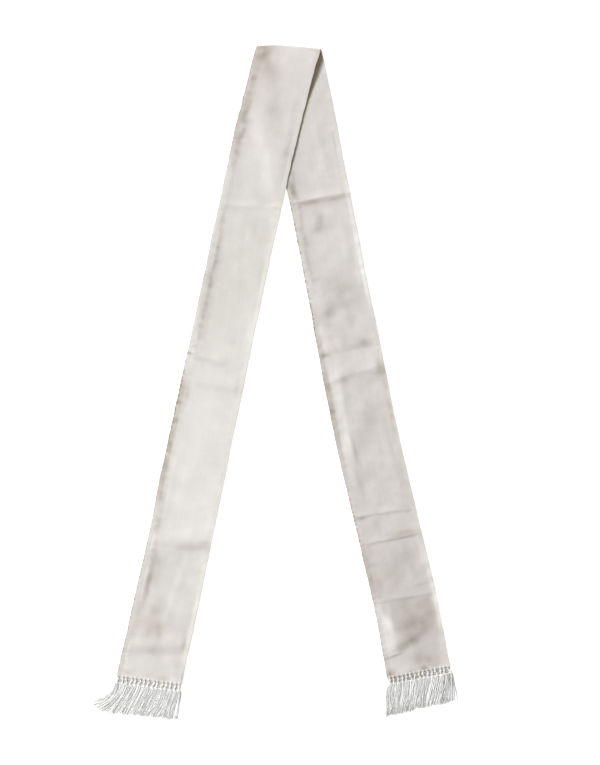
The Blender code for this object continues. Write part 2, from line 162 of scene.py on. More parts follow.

# ---- Stains, darkening, painted shade and painted light ----

# A soft mark: place as distance from the fold and share, how far it reaches down and across
# the cloth, its turn in degrees, how tan and how grey it is. Most are stains; some are painted
# shade beside the fold's loop, in the lee of creases and folds and as dark lines at creases,
# and some with negative amounts are painted light on a fold's lit side and the right hem's raised
# edge.
MARKS = both("along share down across turn tan grey", "along down across", (
    (16, -0.55, 15, 14, 0, 0.84, 0.54), (36, -0.52, 20, 12, 16, 0.26, 0.14),
    (62, -0.2, 44, 15, 16, 0.28, 0.04), (110, 0.16, 48, 14, 12, 0.12, 0),
    (70, -0.62, 24, 8, 6, -0.04, 0.1), (110, 0.72, 50, 6, 0, 0.18, 0.06),
    (115, 0.35, 35, 14, 8, 0.14, 0.03), (121, 0.75, 4, 3, 0, 0.3, 0.1),
    (147, 0.74, 8, 3, 0, 0.4, 0.12), (222, 0.35, 8, 12, 0, 0.06, 0.14),
    (265, 0.34, 16, 9, 15, 0.08, 0.18), (312, -0.25, 10, 14, 0, 0.06, 0.14),
    (430, 0.38, 6, 6, 0, 0.08, 0.16), (460, -0.93, 1.8, 4.5, 0, 0.75, 0.9),
    (463, -0.25, 3, 14, 0, 0.04, 0.1), (470, -0.02, 5, 6, 0, 0.04, 0.14),
    (498, 0.3, 10, 30, -4, 0.08, 0.1), (607, 0.4, 5, 10, -12, 0.05, 0.14),
    (645, -0.1, 15, 10, 0, 0.08, 0.04), (729, 0.3, 10, 24, 6, 0.12, 0.25),
    (722, 0.8, 10, 10, 0, 0.08, 0.3), (735, -0.22, 6, 24, 3, 0.06, 0.1),
    (736, -0.62, 10, 8, 0, -0.08, -0.22), (749, -0.12, 6, 12, 22, 0.12, 0.22),
    (760, -0.58, 9, 9, 20, 0.16, 0.26), (775, -0.45, 28, 15, 0, 0.12, 0.28),
    (792, -0.69, 34, 4.5, 0, 0.46, 0.62), (829, -0.33, 7, 7, -20, 0.58, 0.26),
    (845, 0.06, 4, 8, 0, 0.34, 0.12), (853, -0.02, 11, 5.5, 10, 1.1, 0.36),
    (854, -0.45, 18, 16, 0, 0.55, -0.1), (888, -0.55, 7, 20, 10, 0.1, 0.2),
    (881, 0.15, 8, 34, 10, 0.1, 0.12), (915, 0.97, 12, 3, 0, 0.6, 0.35),
    (915, 0.2, 6, 30, 5, 0.14, 0.04), (922.5, -0.7, 3, 8, 0, 0.5, 0.14),
    (922, -0.08, 3, 6, 0, 0.42, 0.1), (921, 0.42, 3.5, 9, 0, 0.38, 0.06)), (
    (202, -0.8, 9, 4.5, 5, 0.75, 0.65), (226.2, -0.42, 3.2, 20, 0, 0.52, 0.4),
    (226.2, 0.56, 3.2, 20, 0, 0.52, 0.4), (230, 0.1, 6, 30, 0, 0.12, 0.12),
    (252, -0.17, 10, 7.2, -16, 0.52, 0.52), (266, -0.22, 6, 12, 0, 0.15, 0.22),
    (350, 0.12, 20, 22, 0, 0.08, 0.2), (370, 0.1, 22, 26, 0, 0.09, 0.2),
    (384, -0.36, 7, 10, 18, 0.36, 0.26), (310, 0.74, 50, 7, 0, -0.06, -0.14),
    (374, -0.05, 10, 14, 24, 0.14, 0.22), (403, -0.5, 6, 8, 0, 0.24, 0.18),
    (420, -0.52, 10, 4, 10, 0.22, 0.16), (436, 0.42, 7, 9, 0, 0.6, 0.5),
    (431, -0.1, 9, 6, 0, 0.26, 0.22), (443, -0.78, 4, 7, 8, 0.42, 0.32),
    (460, -0.33, 4, 3, 0, 0.3, 0.25), (482, -0.4, 7, 4, 0, 0.3, 0.2),
    (487, 0.35, 8, 28, 0, 0.14, 0.3), (480, 0.9, 10, 6, 0, 0.4, 0.45),
    (540, 0.3, 40, 26, 0, 0.1, 0.18), (582, -0.46, 22, 3, 3, 0.4, 0.1),
    (545, -0.6, 75, 8.5, 3, -0.22, -0.22), (565, -0.2, 20, 8, 0, 0.08, 0.04),
    (635, -0.52, 22, 3.5, 5, 0.22, 0.12), (625, -0.15, 15, 12, 0, 0.08, 0.16),
    (600, 0.86, 50, 3.5, 0, 0.14, 0.16), (677, 0.72, 4.5, 15, 0, 0.24, 0.18),
    (681, -0.8, 3, 6, 0, 0.6, 0.4), (694, -0.35, 9, 6, 0, 0.14, 0.1),
    (715.5, 0.46, 5.5, 25, 0, 0.44, 0.28), (746, 0.38, 18, 11, 0, 0.24, 0.24),
    (760, -0.1, 30, 20, 0, 0.12, 0.14), (782, -0.66, 10, 5, 0, 0.22, 0.12),
    (820, 0.05, 14, 32, 0, 0.1, 0.22), (835, 0.8, 50, 5.5, 0, 0.18, 0.18),
    (825, 0.99, 30, 4.5, 0, -0.22, -0.4), (836, 0.34, 26, 32, 0, 0.16, 0.28),
    (848, 0.12, 18, 24, 18, 0.14, 0.22), (855, 0.55, 10, 14, 0, 0.36, 0.06),
    (865, -0.06, 8.5, 13, 8, 0.42, 0.24), (872, -0.38, 7, 14, 10, 0.3, 0.18),
    (884.5, -0.72, 2.2, 13, 8, 0.42, 0.26), (850, -0.74, 26, 9, 0, -0.5, -0.75),
    (812, -0.82, 14, 6, 0, -0.25, -0.4), (897, -0.62, 12, 15, 0, -0.12, -0.18),
    (360, -0.72, 16, 11, 0, -0.16, -0.34), (410, -0.82, 12, 4.5, 0, -0.25, -0.4),
    (152, 0.8, 34, 2, 0, 0.1, 0.34), (402, 0.42, 14, 10, 10, -0.14, -0.2),
    (895, 0.45, 12, 20, 0, 0.15, 0.26), (909, 0.16, 4.6, 5, 10, 1, 0.6),
    (897.5, 0.06, 8, 5.2, -12, 0.26, 0.2), (899, 0.42, 5, 12, -14, 0.22, 0.16),
    (911, -0.4, 4, 40, 0, 0.2, 0.06), (908, -0.86, 4.5, 7, 0, 0.66, 0.24),
    (909, -0.22, 3, 6, 0, 0.42, 0.16), (908, 0.66, 3, 9, 0, 0.4, 0.2)))
FIRM_MARK = 0.010                 # marks that reach less far are blurred less

# The side hems: how much the left hem's edge is darkened, how dark the painted shade on the cloth
# along its inner side is, how much the right hem is darkened, where negative amounts on the edges
# are painted light instead, how dark the specks on the left hem's edge are, and how high the left
# hem's crest and the right hem's edge stand off the surface.
HEMS = both(
    "along left_edge left_band right_edge specks left_lift right_lift",
    "along left_lift right_lift", (
    (0, 0.24, 0.16, 0.14, 0.35, 0.25, 0.3), (50, 0.26, 0.34, 0.02, 0.7, 0.25, 0.1),
    (100, 0.32, 0.5, 0.04, 0.7, 0.25, 0.05), (150, 0.28, 0.56, 0.1, 0.45, 0.25, 0.05),
    (190, -0.08, 0.18, 0.04, 0.15, 0.22, 0.2), (250, -0.08, 0.18, 0.1, 0.12, 0.22, 0.6),
    (330, 0.08, 0.6, -0.04, 0.12, 0.3, 1.15), (370, 0.02, 0.58, 0, 0.12, 0.26, 1.25),
    (410, -0.06, 0.42, 0, 0.08, 0.2, 1.15), (440, -0.08, 0.22, 0, 0.08, 0.2, 1),
    (475, -0.08, 0.02, 0.04, 0.5, 0.15, 0.4), (510, 0.42, 0.34, 0.08, 1.5, 0.08, 0.4),
    (540, 0.56, 0.24, 0.1, 1.5, 0.08, 0.45), (600, 0.6, 0.14, 0.14, 0.7, 0.1, 0.3),
    (660, 0.46, 0.3, 0.16, 0.2, 0.15, 0.3), (700, 0.14, 0.36, 0.16, 0.25, 0.2, 0.35),
    (750, 0.04, 0.2, 0.08, 0.45, 0.15, 0.9), (800, -0.04, 0.06, 0, 0.5, 0.15, 1.5),
    (860, -0.06, 0.1, -0.06, 0.6, 0.15, 1.6), (930, 0.2, 0.05, 0.12, 0.5, 0.15, 0.8)), (
    (0, 0.5, 0.4, 0.1, 0.2, 0.15, 0.8), (200, 0.16, 0.34, 0, 0.6, 0.15, 1.2),
    (270, -0.08, 0.28, -0.24, 0.9, 0.12, 2.1), (320, -0.12, 0.22, -0.26, 0.8, 0.1, 2.4),
    (370, -0.02, 0, -0.16, 1.2, 0.05, 2.1), (420, 0.18, 0, 0.08, 0.85, 0.05, 1),
    (460, 0.32, 0, 0.12, 0.5, 0.05, 0.8), (510, 0.52, 0.16, 0.26, 0.6, 0.05, 0.9),
    (560, 0.34, 0.06, 0.22, 0.4, 0.1, 1), (610, 0.14, 0.06, 0.04, 0.15, 0.15, 1),
    (670, -0.04, 0, 0.12, 0.95, 0.08, 1), (710, -0.06, 0.06, 0.1, 0.95, 0.06, 1.1),
    (740, 0.22, 0.22, 0, 0.65, 0.06, 1.4), (770, 0.24, 0.12, -0.14, 0.5, 0.06, 2.2),
    (800, 0, 0.2, -0.22, 0.45, 0.1, 2.8), (860, -0.12, 0, -0.06, 0.5, 0.1, 2.5),
    (910, 0.22, 0.1, 0.06, 0.6, 0.1, 1.3)))

# How much darker and greyer the silk is made down each stretch, and how pink.
DARKENING = both("along amount pink", "along", (
    (0, 0.21, 1), (60, 0.21, 1.1), (120, 0.2, 0.7), (200, 0.23, 0.3), (300, 0.23, -0.1),
    (380, 0.22, -0.1), (440, 0.14, 0), (500, 0.11, 0), (600, 0.07, 0), (700, 0.05, 0.2),
    (740, 0.15, 0.3), (800, 0.21, 0.2), (860, 0.25, 0.3), (930, 0.14, 0.3)), (
    (0, 0.36, 0.3), (200, 0.32, 0.2), (300, 0.34, 0.2), (360, 0.39, 0.1), (460, 0.32, 0.2),
    (560, 0.35, 0.2), (660, 0.4, 0.3), (720, 0.42, 0.5), (800, 0.46, 0.7), (880, 0.46, 0.5),
    (910, 0.37, 0.5)))

# How wavy the cloth is.
WAVES = both("along amount", "along", (
    (0, 0.35), (200, 0.42), (260, 0.6), (420, 0.6), (500, 0.45), (680, 0.4), (740, 1.1),
    (900, 1.2), (930, 0.6)), (
    (0, 0.8), (300, 0.9), (420, 1.2), (600, 1.1), (800, 1.2), (910, 0.8)))

# ---- Fringe ----

# Share of the half width, the strands' angle from straight down the surface in degrees
# (positive to the right), their length below the knots, how far they bulge sideways.
SWEEPS = both("share angle length bulge", "length bulge", (
    (-1, -44, 45, 0), (-0.8, -36, 48, 0), (-0.5, -31, 46, 0), (0, -26, 45, 0), (0.5, -24, 43, 0),
    (0.85, -19, 42, 0), (1, -10, 41, 1)), (
    (-1, -4, 45, -5), (-0.84, -5, 45, -2.2), (-0.5, -7, 45, 0), (0, -8, 44, 0),
    (0.5, -9, 43.5, 0), (0.78, -8, 43, 1), (0.9, -3, 42, 1.2), (1, 3, 41, 0.6)))
HEAD_AGES = (0.02, 0.20)          # how aged each end's heads are
STRAND_AGES = (-0.06, 0.07)       # and its strands
SOILED_SHARES = (0.04, 0.12)      # part of each end's strands that is soiled
# how dark the rows of thread behind each end's knots are; they stand in for the shade in the gaps
# between the cords
GAP_SHADE_TONES = ((0.10, 0.45), (0.50, 0.90))
KNOTS_PER_END = 15
KNOT_REACHES = (0.0041, 0.0093)   # middles of the two rows of knots below the cloth's end
KNOT_RADII = (0.00122, 0.00174)   # sideways
KNOT_TURNS = (2.3, 3.2)           # how often a cord is wrapped round the plies
KNOT_RISE = 0.00098               # the knots' radius up and down
WRAP_PITCH = 0.00078              # from one turn of a knot to the next
HEAD_REACH = 0.0105               # the strands part here
HEAD_HEIGHT = 0.00175             # middle of the knots above the surface
PLY_RADIUS = 0.00062
PLY_TWIST = 4.6                   # radians that the plies turn down a head
PLY_SPREAD, PLY_PINCH = 0.00072, 0.00014     # from the head's middle, and how much it varies
UNDER_PLY = 0.85                  # the two plies behind are thinner
WRAP_RADIUS = 0.00044
KNOT_SLIP = 0.00045               # the heads are a little out of step
STRAND_LEAD = 0.09                # share of its length over which a strand swings to its sweep
CORNER_LEAD = 0.34                # and how much more at the front end's left corner
LAYER_STEP = 0.00070              # from one layer of strands to the next under the knots
TIP_STEP = 0.00080                # and at their tips
TAPER = 0.22                      # part of a strand's radius that is gone at its tip
# Rows of thread behind the knots, which stand in for the shade in the gaps between the cords:
# painted shade.
GAP_SHADE_ROWS = 8
GAP_SHADE_PITCH = 0.00116
GAP_SHADE_RADIUS = 0.00070
GAP_SHADE_HEIGHT = 0.00092

LEFT, RIGHT = map(
    namedtuple("Stretch", "side length hem_slope course creases folds marks hems ageing waves "
               "sweep head_age strand_age soiled binding_age"),
    (-1, 1), (LEFT_LENGTH, RIGHT_LENGTH), HEM_SLOPES, COURSES, CREASES, LONG_FOLDS, MARKS, HEMS,
    DARKENING, WAVES, SWEEPS, HEAD_AGES, STRAND_AGES, SOILED_SHARES, GAP_SHADE_TONES)


# ---- Settings ----

def length(name, description, default, low, high):
    """A setting that is a length."""
    return FloatProperty(name=name, description=description, default=default,
                         min=low, max=high, unit="LENGTH")


def tint(name, description, default):
    """A setting that is a colour."""
    return FloatVectorProperty(name=name, description=description, default=default,
                               min=0.0, max=1.0, size=3, subtype="COLOR")


class StoleSizes(PropertyGroup):
    """Sizes of the cloth's make and of its fringe."""

    thickness: length("Cloth thickness", "Thickness of the doubled silk", 0.0007, 0.0003, 0.0012)
    hem_width: length(
        "Hem width", "Width of the turned hem down each long side", 0.006, 0.003, 0.009)
    hem_rise: length("Hem thickness", "How much thicker the turned hem is", 0.00011, 0.0, 0.0009)
    stitch_pitch: length(
        "Stitch spacing", "Distance from one hem stitch to the next", 0.0036, 0.002, 0.008)
    stitch_length: length(
        "Stitch length", "Length of a hem stitch that shows", 0.0015, 0.001, 0.005)
    stitch_radius: length(
        "Stitch thread radius", "Radius of the sewing thread", 0.00014, 0.0001, 0.0004)
    strand_radius: length(
        "Strand radius", "Radius of a strand of the fringe", 0.00043, 0.0002, 0.0007)
    strands_per_tassel: IntProperty(
        name="Strands a tassel", description="Strands that hang from each pair of knots",
        default=35, min=6, max=44)
    weave_pitch: length(
        "Weave pitch", "Distance from one thread of the silk to the next", 0.00055, 0.0002, 0.002)


class StoleColours(PropertyGroup):
    """Colours of the silk, the threads and the studio."""

    silk_front: tint("Silk, front", "Ivory of the silk's brighter face", (0.794, 0.771, 0.737))
    silk_rear: tint("Silk, rear", "Ivory of the silk's duller face", (0.802, 0.777, 0.752))
    tan: tint("Stain", "Tan of the old stains", (0.370, 0.302, 0.215))
    rayon: tint("Fringe", "Cool white of the fringe's rayon thread", (0.955, 0.953, 0.947))
    # Grey of soiled threads, and of the lower layer of strands as painted shade.
    rayon_aged: tint("Aged fringe", "Grey of the fringe's soiled threads", (0.340, 0.325, 0.300))
    # Buff of the rows of thread that stand in for the shade between the knots.
    binding: tint("Binding", "Buff of the thread behind the knots", (0.760, 0.725, 0.665))
    stitches: tint("Stitches", "Sewing thread of the hems", (0.700, 0.670, 0.620))
    floor: tint("Floor", "Colour of the studio floor", (0.930, 0.930, 0.930))


def sizes():
    return bpy.context.scene.stole_sizes


def colours():
    return bpy.context.scene.stole_colours


# ---- Helpers ----

def ease(share):
    """Smooth step from 0 to 1 as share goes from 0 to 1."""
    share = np.clip(share, 0.0, 1.0)
    return share * share * (3.0 - 2.0 * share)


def bell(offset, reach):
    """Bell curve: 1 in its middle and nearly nothing past twice its reach."""
    return np.exp(-(offset / reach) ** 2)


def read_table(rows, position, column):
    """Value of a table's column at positions in its first one, joined smoothly."""
    places = np.array([row[0] for row in rows])
    values = np.array([getattr(row, column) for row in rows])
    last = len(rows) - 1
    after = np.clip(np.searchsorted(places, position), 1, last)
    before = after - 1
    first, final = np.maximum(before - 1, 0), np.minimum(after + 1, last)
    span = places[after] - places[before]
    share = np.clip((position - places[before]) / span, 0.0, 1.0)
    squared, cubed = share ** 2, share ** 3
    start_slope = (values[after] - values[first]) / (places[after] - places[first])
    end_slope = (values[final] - values[before]) / (places[final] - places[before])
    return ((2 * cubed - 3 * squared + 1) * values[before]
            + (cubed - 2 * squared + share) * span * start_slope
            + (3 * squared - 2 * cubed) * values[after] + (cubed - squared) * span * end_slope)


def read_side(on_left, name, distance, column):
    """The same from the left stretch's table where `on_left` holds, else from the right one's."""
    left, right = (read_table(getattr(stretch, name), distance, column)
                   for stretch in (LEFT, RIGHT))
    return np.where(on_left, left, right)


# Random values: their size, how fast they change over two coordinates, and a seed.
Cloud = namedtuple("Cloud", "size first second seed")


def cloudy(cloud, first, second, side=0):
    """Smooth random values over two arrays: about half the cloud's size either way from 0."""
    first, second = np.broadcast_arrays(first * cloud.first, second * cloud.second)
    values = [noise.noise((x, y, cloud.seed + side))
              for x, y in zip(first.ravel(), second.ravel())]
    return cloud.size * np.array(values).reshape(first.shape)


# ---- The cloth as a surface ----

def half_width(along):
    """Half the cloth's width at a distance from the fold."""
    return 0.5 * read_side(along < 0.0, "course", np.abs(along), "width")


def place(along, across):
    """Position of a cloth place in the fold's own frame, and its distance square to the fold."""
    beyond = along * COS_LEAN - across * SIN_LEAN
    side = np.where(beyond < 0.0, -1.0, 1.0)
    shift = read_side(side < 0.0, "course", np.abs(along), "shift")
    shift = np.where(along * side < 0.0, 0.0, shift)
    right = along * SIN_LEAN + (across + shift) * COS_LEAN
    bow = read_table(FOLD_BOW, across / half_width(along), "rise")
    bow = bow * (1.0 - ease(np.abs(beyond) / FOLD_BOW_REACH))
    forward = -np.abs(beyond) + side * shift * SIN_LEAN + bow
    return right, forward, beyond


def front_lift(right, forward):
    """Height of the front layer's underside, which lies on the rear stretch where they cross."""
    corner = -0.5 * LEFT.course[0].width / COS_LEAN
    inside = (right - corner) * COS_LEAN + forward * SIN_LEAN
    return LAYER_CLEARANCE * ease((inside + STEP_OFF_END) / (STEP_OFF_END - STEP_OFF_START))


def crest_line(crease, share):
    """Distance of a crease's crest from the fold at a share."""
    tilt = 0.5 * (crease.right - crease.left)
    bend = 0.5 * (crease.right + crease.left) - crease.middle
    return crease.middle + tilt * share + bend * share * share


def crease_fade(crease, share):
    """How much of a crease is left at a share, from 0 past its ends to 1."""
    return ease((share - crease.start) / CREASE_FADE) * ease((crease.stop - share) / CREASE_FADE)


def ridge(offset, before, beyond, sharp):
    """Height from 0 to 1 of a ridge whose slopes reach `before` and `beyond` its crest."""
    part = np.abs(offset) / np.where(offset < 0.0, before, beyond)
    return (1.0 - ease(part)) * (1.0 - sharp) + np.clip(1.0 - part, 0.0, 1.0) ** 2 * sharp


CREST_WANDER = Cloud(0.0016, 1.7, 1.0, 3.1)
CREASE_DEPTH = Cloud(0.9, 1.3, 1.0, 7.7)


def crease_relief(stretch, distance, share):
    """Height of one stretch's creases and long folds."""
    height = np.zeros_like(distance)
    for number, crease in enumerate(stretch.creases):
        near = np.abs(distance - crease.middle) < CREASE_SPAN
        part = share[near]
        wander = cloudy(CREST_WANDER, part, number, stretch.side)
        depth = 1.0 + cloudy(CREASE_DEPTH, part, number + 0.5, stretch.side)
        offset = distance[near] - crest_line(crease, part) - wander
        height[near] += (crease.rise * depth * crease_fade(crease, part)
                         * ridge(offset, crease.above, crease.below, crease.sharp))
    for fold in stretch.folds:
        near = (distance > fold.start) & (distance < fold.stop)
        run = (distance[near] - fold.start) / (fold.stop - fold.start)
        crest = fold.share_start + (fold.share_stop - fold.share_start) * run
        offset = (share[near] - crest) * MEAN_HALF_WIDTH
        fade = ease(run / LONG_FOLD_FADE) * ease((1.0 - run) / LONG_FOLD_FADE)
        height[near] += (fold.rise * fade
                         * ridge(offset, fold.left, fold.right, LONG_FOLD_SHARPNESS))
    return height


Pucker = namedtuple("Pucker", "distance lean width depth reach")
PUCKER_BAND = 0.014               # the pulls die out this far inside the hem's stitches
PUCKER_SPAN = 0.012               # and this far down the hem
PUCKER_EDGE_LOSS = 0.75           # part of a pull that is gone at the hem's edge
SWELL_HEIGHT, SWELL_PLACE = 0.6, 1.9         # of the swell beside a pull, in depths and widths
PUCKER_STRENGTHS = ((-1, 1.0), (1, 0.45))    # at the left and right hem


def hem_puckers(stretch, side):
    """Small uneven pulls in the cloth along one side hem."""
    draw = random.Random(41 + 7 * stretch.side + 3 * side)
    puckers = []
    distance = 0.012
    while distance < stretch.length - 0.006:
        puckers.append(Pucker(distance, draw.uniform(-0.55, 0.55), draw.uniform(0.0013, 0.0030),
                              draw.uniform(0.08, 0.45) * MM, draw.uniform(0.004, 0.014)))
        distance += draw.uniform(0.0045, 0.0125)
    return puckers


PUCKERS = {(stretch.side, side): hem_puckers(stretch, side)
           for stretch in (LEFT, RIGHT) for side in (-1, 1)}


def pucker_relief(stretch, distance, across, half):
    """Height of the pulls along both side hems of one stretch."""
    height = np.zeros_like(distance)
    stitch_line = sizes().hem_width
    for side, strength in PUCKER_STRENGTHS:
        inward = half - side * across - stitch_line
        at_hem = inward < PUCKER_BAND
        for pucker in PUCKERS[stretch.side, side]:
            near = at_hem & (np.abs(distance - pucker.distance) < PUCKER_SPAN)
            deep = inward[near]
            offset = distance[near] - pucker.distance - pucker.lean * deep
            fade = np.where(deep > 0.0, 1.0 - ease(deep / pucker.reach),
                            1.0 - PUCKER_EDGE_LOSS * ease(-deep / stitch_line))
            swell = SWELL_HEIGHT * bell(offset - SWELL_PLACE * pucker.width, pucker.width)
            height[near] -= (strength * pucker.depth * fade
                             * (bell(offset, pucker.width) - swell))
    return height


ROLL_SIZE = 0.8
ROLL_CREST = 0.0062               # the left hem's roll is highest this far from its edge
ROLL_REACH = 0.0085               # and comes down over about this width
FLARE_SIZE, FLARE_CURVE = 1.3, 2.1
FLARE_REACH = 0.015               # the right hem's edge stands up over this width
HEM_UNEVENNESS = Cloud(0.7, 75.0, 1.0, 12.7)
ROLL_UNEVENNESS = Cloud(0.0070, 60.0, 1.0, 17.2)


def hem_lift(stretch, distance, across, inset):
    """How far the side hems stand off: the left one as a low roll, the right one at its edge."""
    side = np.sign(across)
    uneven = 1.0 + cloudy(HEM_UNEVENNESS, distance, side + 0.3, stretch.side)
    reach = ROLL_REACH + cloudy(ROLL_UNEVENNESS, distance, side + 0.7, stretch.side)
    roll = ease(inset / ROLL_CREST) * (1.0 - ease((inset - ROLL_CREST) / reach))
    flare = FLARE_SIZE * np.clip(1.0 - inset / FLARE_REACH, 0.0, 1.0) ** FLARE_CURVE
    left = ROLL_SIZE * read_table(stretch.hems, distance, "left_lift") * roll
    right = read_table(stretch.hems, distance, "right_lift") * flare
    return np.where(across < 0.0, left, right) * uneven


def end_distance(on_left, along, across):
    """Distance from cloth places to their stretch's fringed end."""
    left, right = (stretch.length - np.abs(along - stretch.hem_slope * across)
                   for stretch in (LEFT, RIGHT))
    return np.where(on_left, left, right)


BED_HEIGHT = 0.00060              # the cloth's underside waves about this height
BROAD_WAVE = Cloud(0.0013, 13.0, 1.1, 1.5)
MIDDLE_WAVE = Cloud(0.00100, 34.0, 30.0, 5.2)
MIDDLE_SLANT = 14.0 / 34.0
FINE_WAVE = Cloud(0.00026, 95.0, 80.0, 9.4)
HEM_HEIGHT, HEM_CALM = 0.0005, 0.7           # the hems are flatter than the cloth between them
HEM_BAND, HEM_BAND_FADE = 0.005, 0.008
END_LIFT, END_PULL = 0.0007, 0.00022         # the cords lift the cloth's end and draw it up
END_REACH = 0.010
LEAST_LIFT = 0.0002               # hollows are rounded off at this height
LOOP_FADE = 0.022                 # past the fold's loop, the relief grows over this length


def relief(along, across, beyond, quarter):
    """Height of the cloth's creases, pulls and slight waves, never below zero."""
    half = half_width(along)
    share = across / half
    distance = np.abs(along)
    wavy = read_side(along < 0.0, "waves", distance, "amount")
    height = BED_HEIGHT + cloudy(BROAD_WAVE, along, share)
    height += wavy * cloudy(MIDDLE_WAVE, along + MIDDLE_SLANT * across, across)
    height += wavy * cloudy(FINE_WAVE, along, across)
    for stretch in (LEFT, RIGHT):
        own = (beyond < 0.0) == (stretch is LEFT)
        run, wide, part = distance[own], across[own], share[own]
        inset = half[own] - np.abs(wide)
        near_hem = 1.0 - ease((inset - HEM_BAND) / HEM_BAND_FADE)
        pull = np.cos(math.pi * (KNOTS_PER_END * (part + 1.0) + 1.0))
        at_end = 1.0 - ease(end_distance(stretch is LEFT, along[own], wide) / END_REACH)
        height[own] += crease_relief(stretch, run, part)
        height[own] += HEM_CALM * near_hem * (HEM_HEIGHT - height[own])
        height[own] += hem_lift(stretch, run, wide, inset)
        height[own] += pucker_relief(stretch, run, wide, half[own])
        height[own] += (END_LIFT + END_PULL * pull) * at_end
    height = 0.5 * (height + np.sqrt(height * height + LEAST_LIFT ** 2))
    return height * ease((np.abs(beyond) - quarter) / LOOP_FADE)


HEM_STEP_END, HEM_STEP_WIDTH = 0.0014, 0.0032
GROOVE_DEPTH = 0.00005            # the stitches draw a shallow groove beside the hem
GROOVE_PLACE, GROOVE_REACH = 0.0004, 0.0006
EDGE_ROUNDING = 0.0007            # the cloth's edges are rounded over this width


def lay(along, across):
    """Both faces of the cloth at cloth places, in the fold's frame.

    The first face is up on the front stretch and outside at the fold, and the second face is
    up on the rear stretch.
    """
    make = sizes()
    right, forward, beyond = place(along, across)
    on_left = beyond < 0.0
    half = half_width(along)
    from_edge = half - np.abs(across)
    rise = make.hem_rise * ease((make.hem_width + HEM_STEP_END - from_edge) / HEM_STEP_WIDTH)
    groove = bell(from_edge - make.hem_width - GROOVE_PLACE, GROOVE_REACH)
    wall = make.thickness - GROOVE_DEPTH * groove
    low, high = FOLD_HEIGHTS
    loop = low + (high - low) * ease(0.5 * (across / half + 1.0))
    radius = 0.5 * loop
    quarter = 0.5 * math.pi * (radius - 0.5 * make.thickness)
    settled = ease((np.abs(beyond) - quarter) / FOLD_HUMP)
    height = relief(along, across, beyond, quarter)
    held_up = (loop - make.thickness - LAYER_CLEARANCE) * (1.0 - settled)
    front_under = front_lift(right, forward) + held_up + height

    turn = 0.5 * math.pi * np.clip(beyond / quarter, -1.0, 1.0)
    outer_reach = radius + rise * 0.5 * (1.0 - np.sin(turn))
    inner_reach = radius - wall - rise * 0.5 * (1.0 + np.sin(turn))
    in_loop = np.abs(beyond) <= quarter
    edge = np.minimum(from_edge, end_distance(on_left, along, across))
    sunk = 1.0 - np.clip(edge / EDGE_ROUNDING, 0.0, 1.0)
    roundness = np.sqrt(np.clip(1.0 - sunk ** 2, 0.05, 1.0))
    faces = []
    for level in (0.5 + 0.5 * roundness, 0.5 - 0.5 * roundness):
        reach = inner_reach + (outer_reach - inner_reach) * level
        flat_front = front_under + (wall + rise) * level
        flat_rear = height + (wall + rise) * (1.0 - level)
        z = np.where(in_loop, radius - reach * np.sin(turn),
                     np.where(on_left, flat_front, flat_rear))
        y = forward + np.where(in_loop, np.abs(beyond) - quarter + reach * np.cos(turn), 0.0)
        faces.append(np.stack([right, y, z], axis=-1))
    return faces


def turned(x, y):
    """Position in the fold's frame turned by the fold's tilt."""
    cosine, sine = math.cos(FOLD_TILT), math.sin(FOLD_TILT)
    return x * cosine - y * sine, x * sine + y * cosine


def settle_shift():
    """Move that brings the front stretch's hem corners to where the frame has them."""
    across = np.array([-0.5, 0.5]) * FRAME_END.width
    moved = FRAME_END.shift - read_table(LEFT.course, FRAME_END.along, "shift")
    right, forward, _ = place(-FRAME_END.along + FRAME_END.slope * across, across + moved)
    low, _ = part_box("left_stretch")
    x, y = turned(right, forward)
    return low.x - min(x), low.y - min(y)


SHIFT_X, SHIFT_Y = settle_shift()


def settle(points):
    """Fold's frame to the stole's frame: turned by the fold's tilt and moved over the origin."""
    x, y = turned(points[..., 0], points[..., 1])
    return np.stack([x + SHIFT_X, y + SHIFT_Y, points[..., 2]], axis=-1)


# ---- Meshes ----

def link_piece(name, mesh, finish):
    """Make a mesh a piece of the stole: linked, shaded smooth, finished and riding its body."""
    mesh.shade_smooth()
    mesh.materials.append(finish)
    piece = bpy.data.objects.new(name, mesh)
    bpy.context.scene.collection.objects.link(piece)
    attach(piece, "root")
    return piece


def turn_outwards(mesh):
    """Point every face of a closed mesh outwards."""
    builder = bmesh.new()
    builder.from_mesh(mesh)
    bmesh.ops.recalc_face_normals(builder, faces=builder.faces[:])
    builder.to_mesh(mesh)
    builder.free()


def add_field(mesh, name, values):
    """Store one number a vertex for the finish to read."""
    field = mesh.attributes.new(name, "FLOAT", "POINT")
    field.data.foreach_set("value", np.asarray(values, dtype=np.float32).ravel())


def add_chart(mesh, name, chart):
    """Give a mesh a UV map, as one place for each corner of its faces."""
    layer = mesh.uv_layers.new(name=name)
    layer.data.foreach_set("uv", chart.astype(np.float32).ravel())


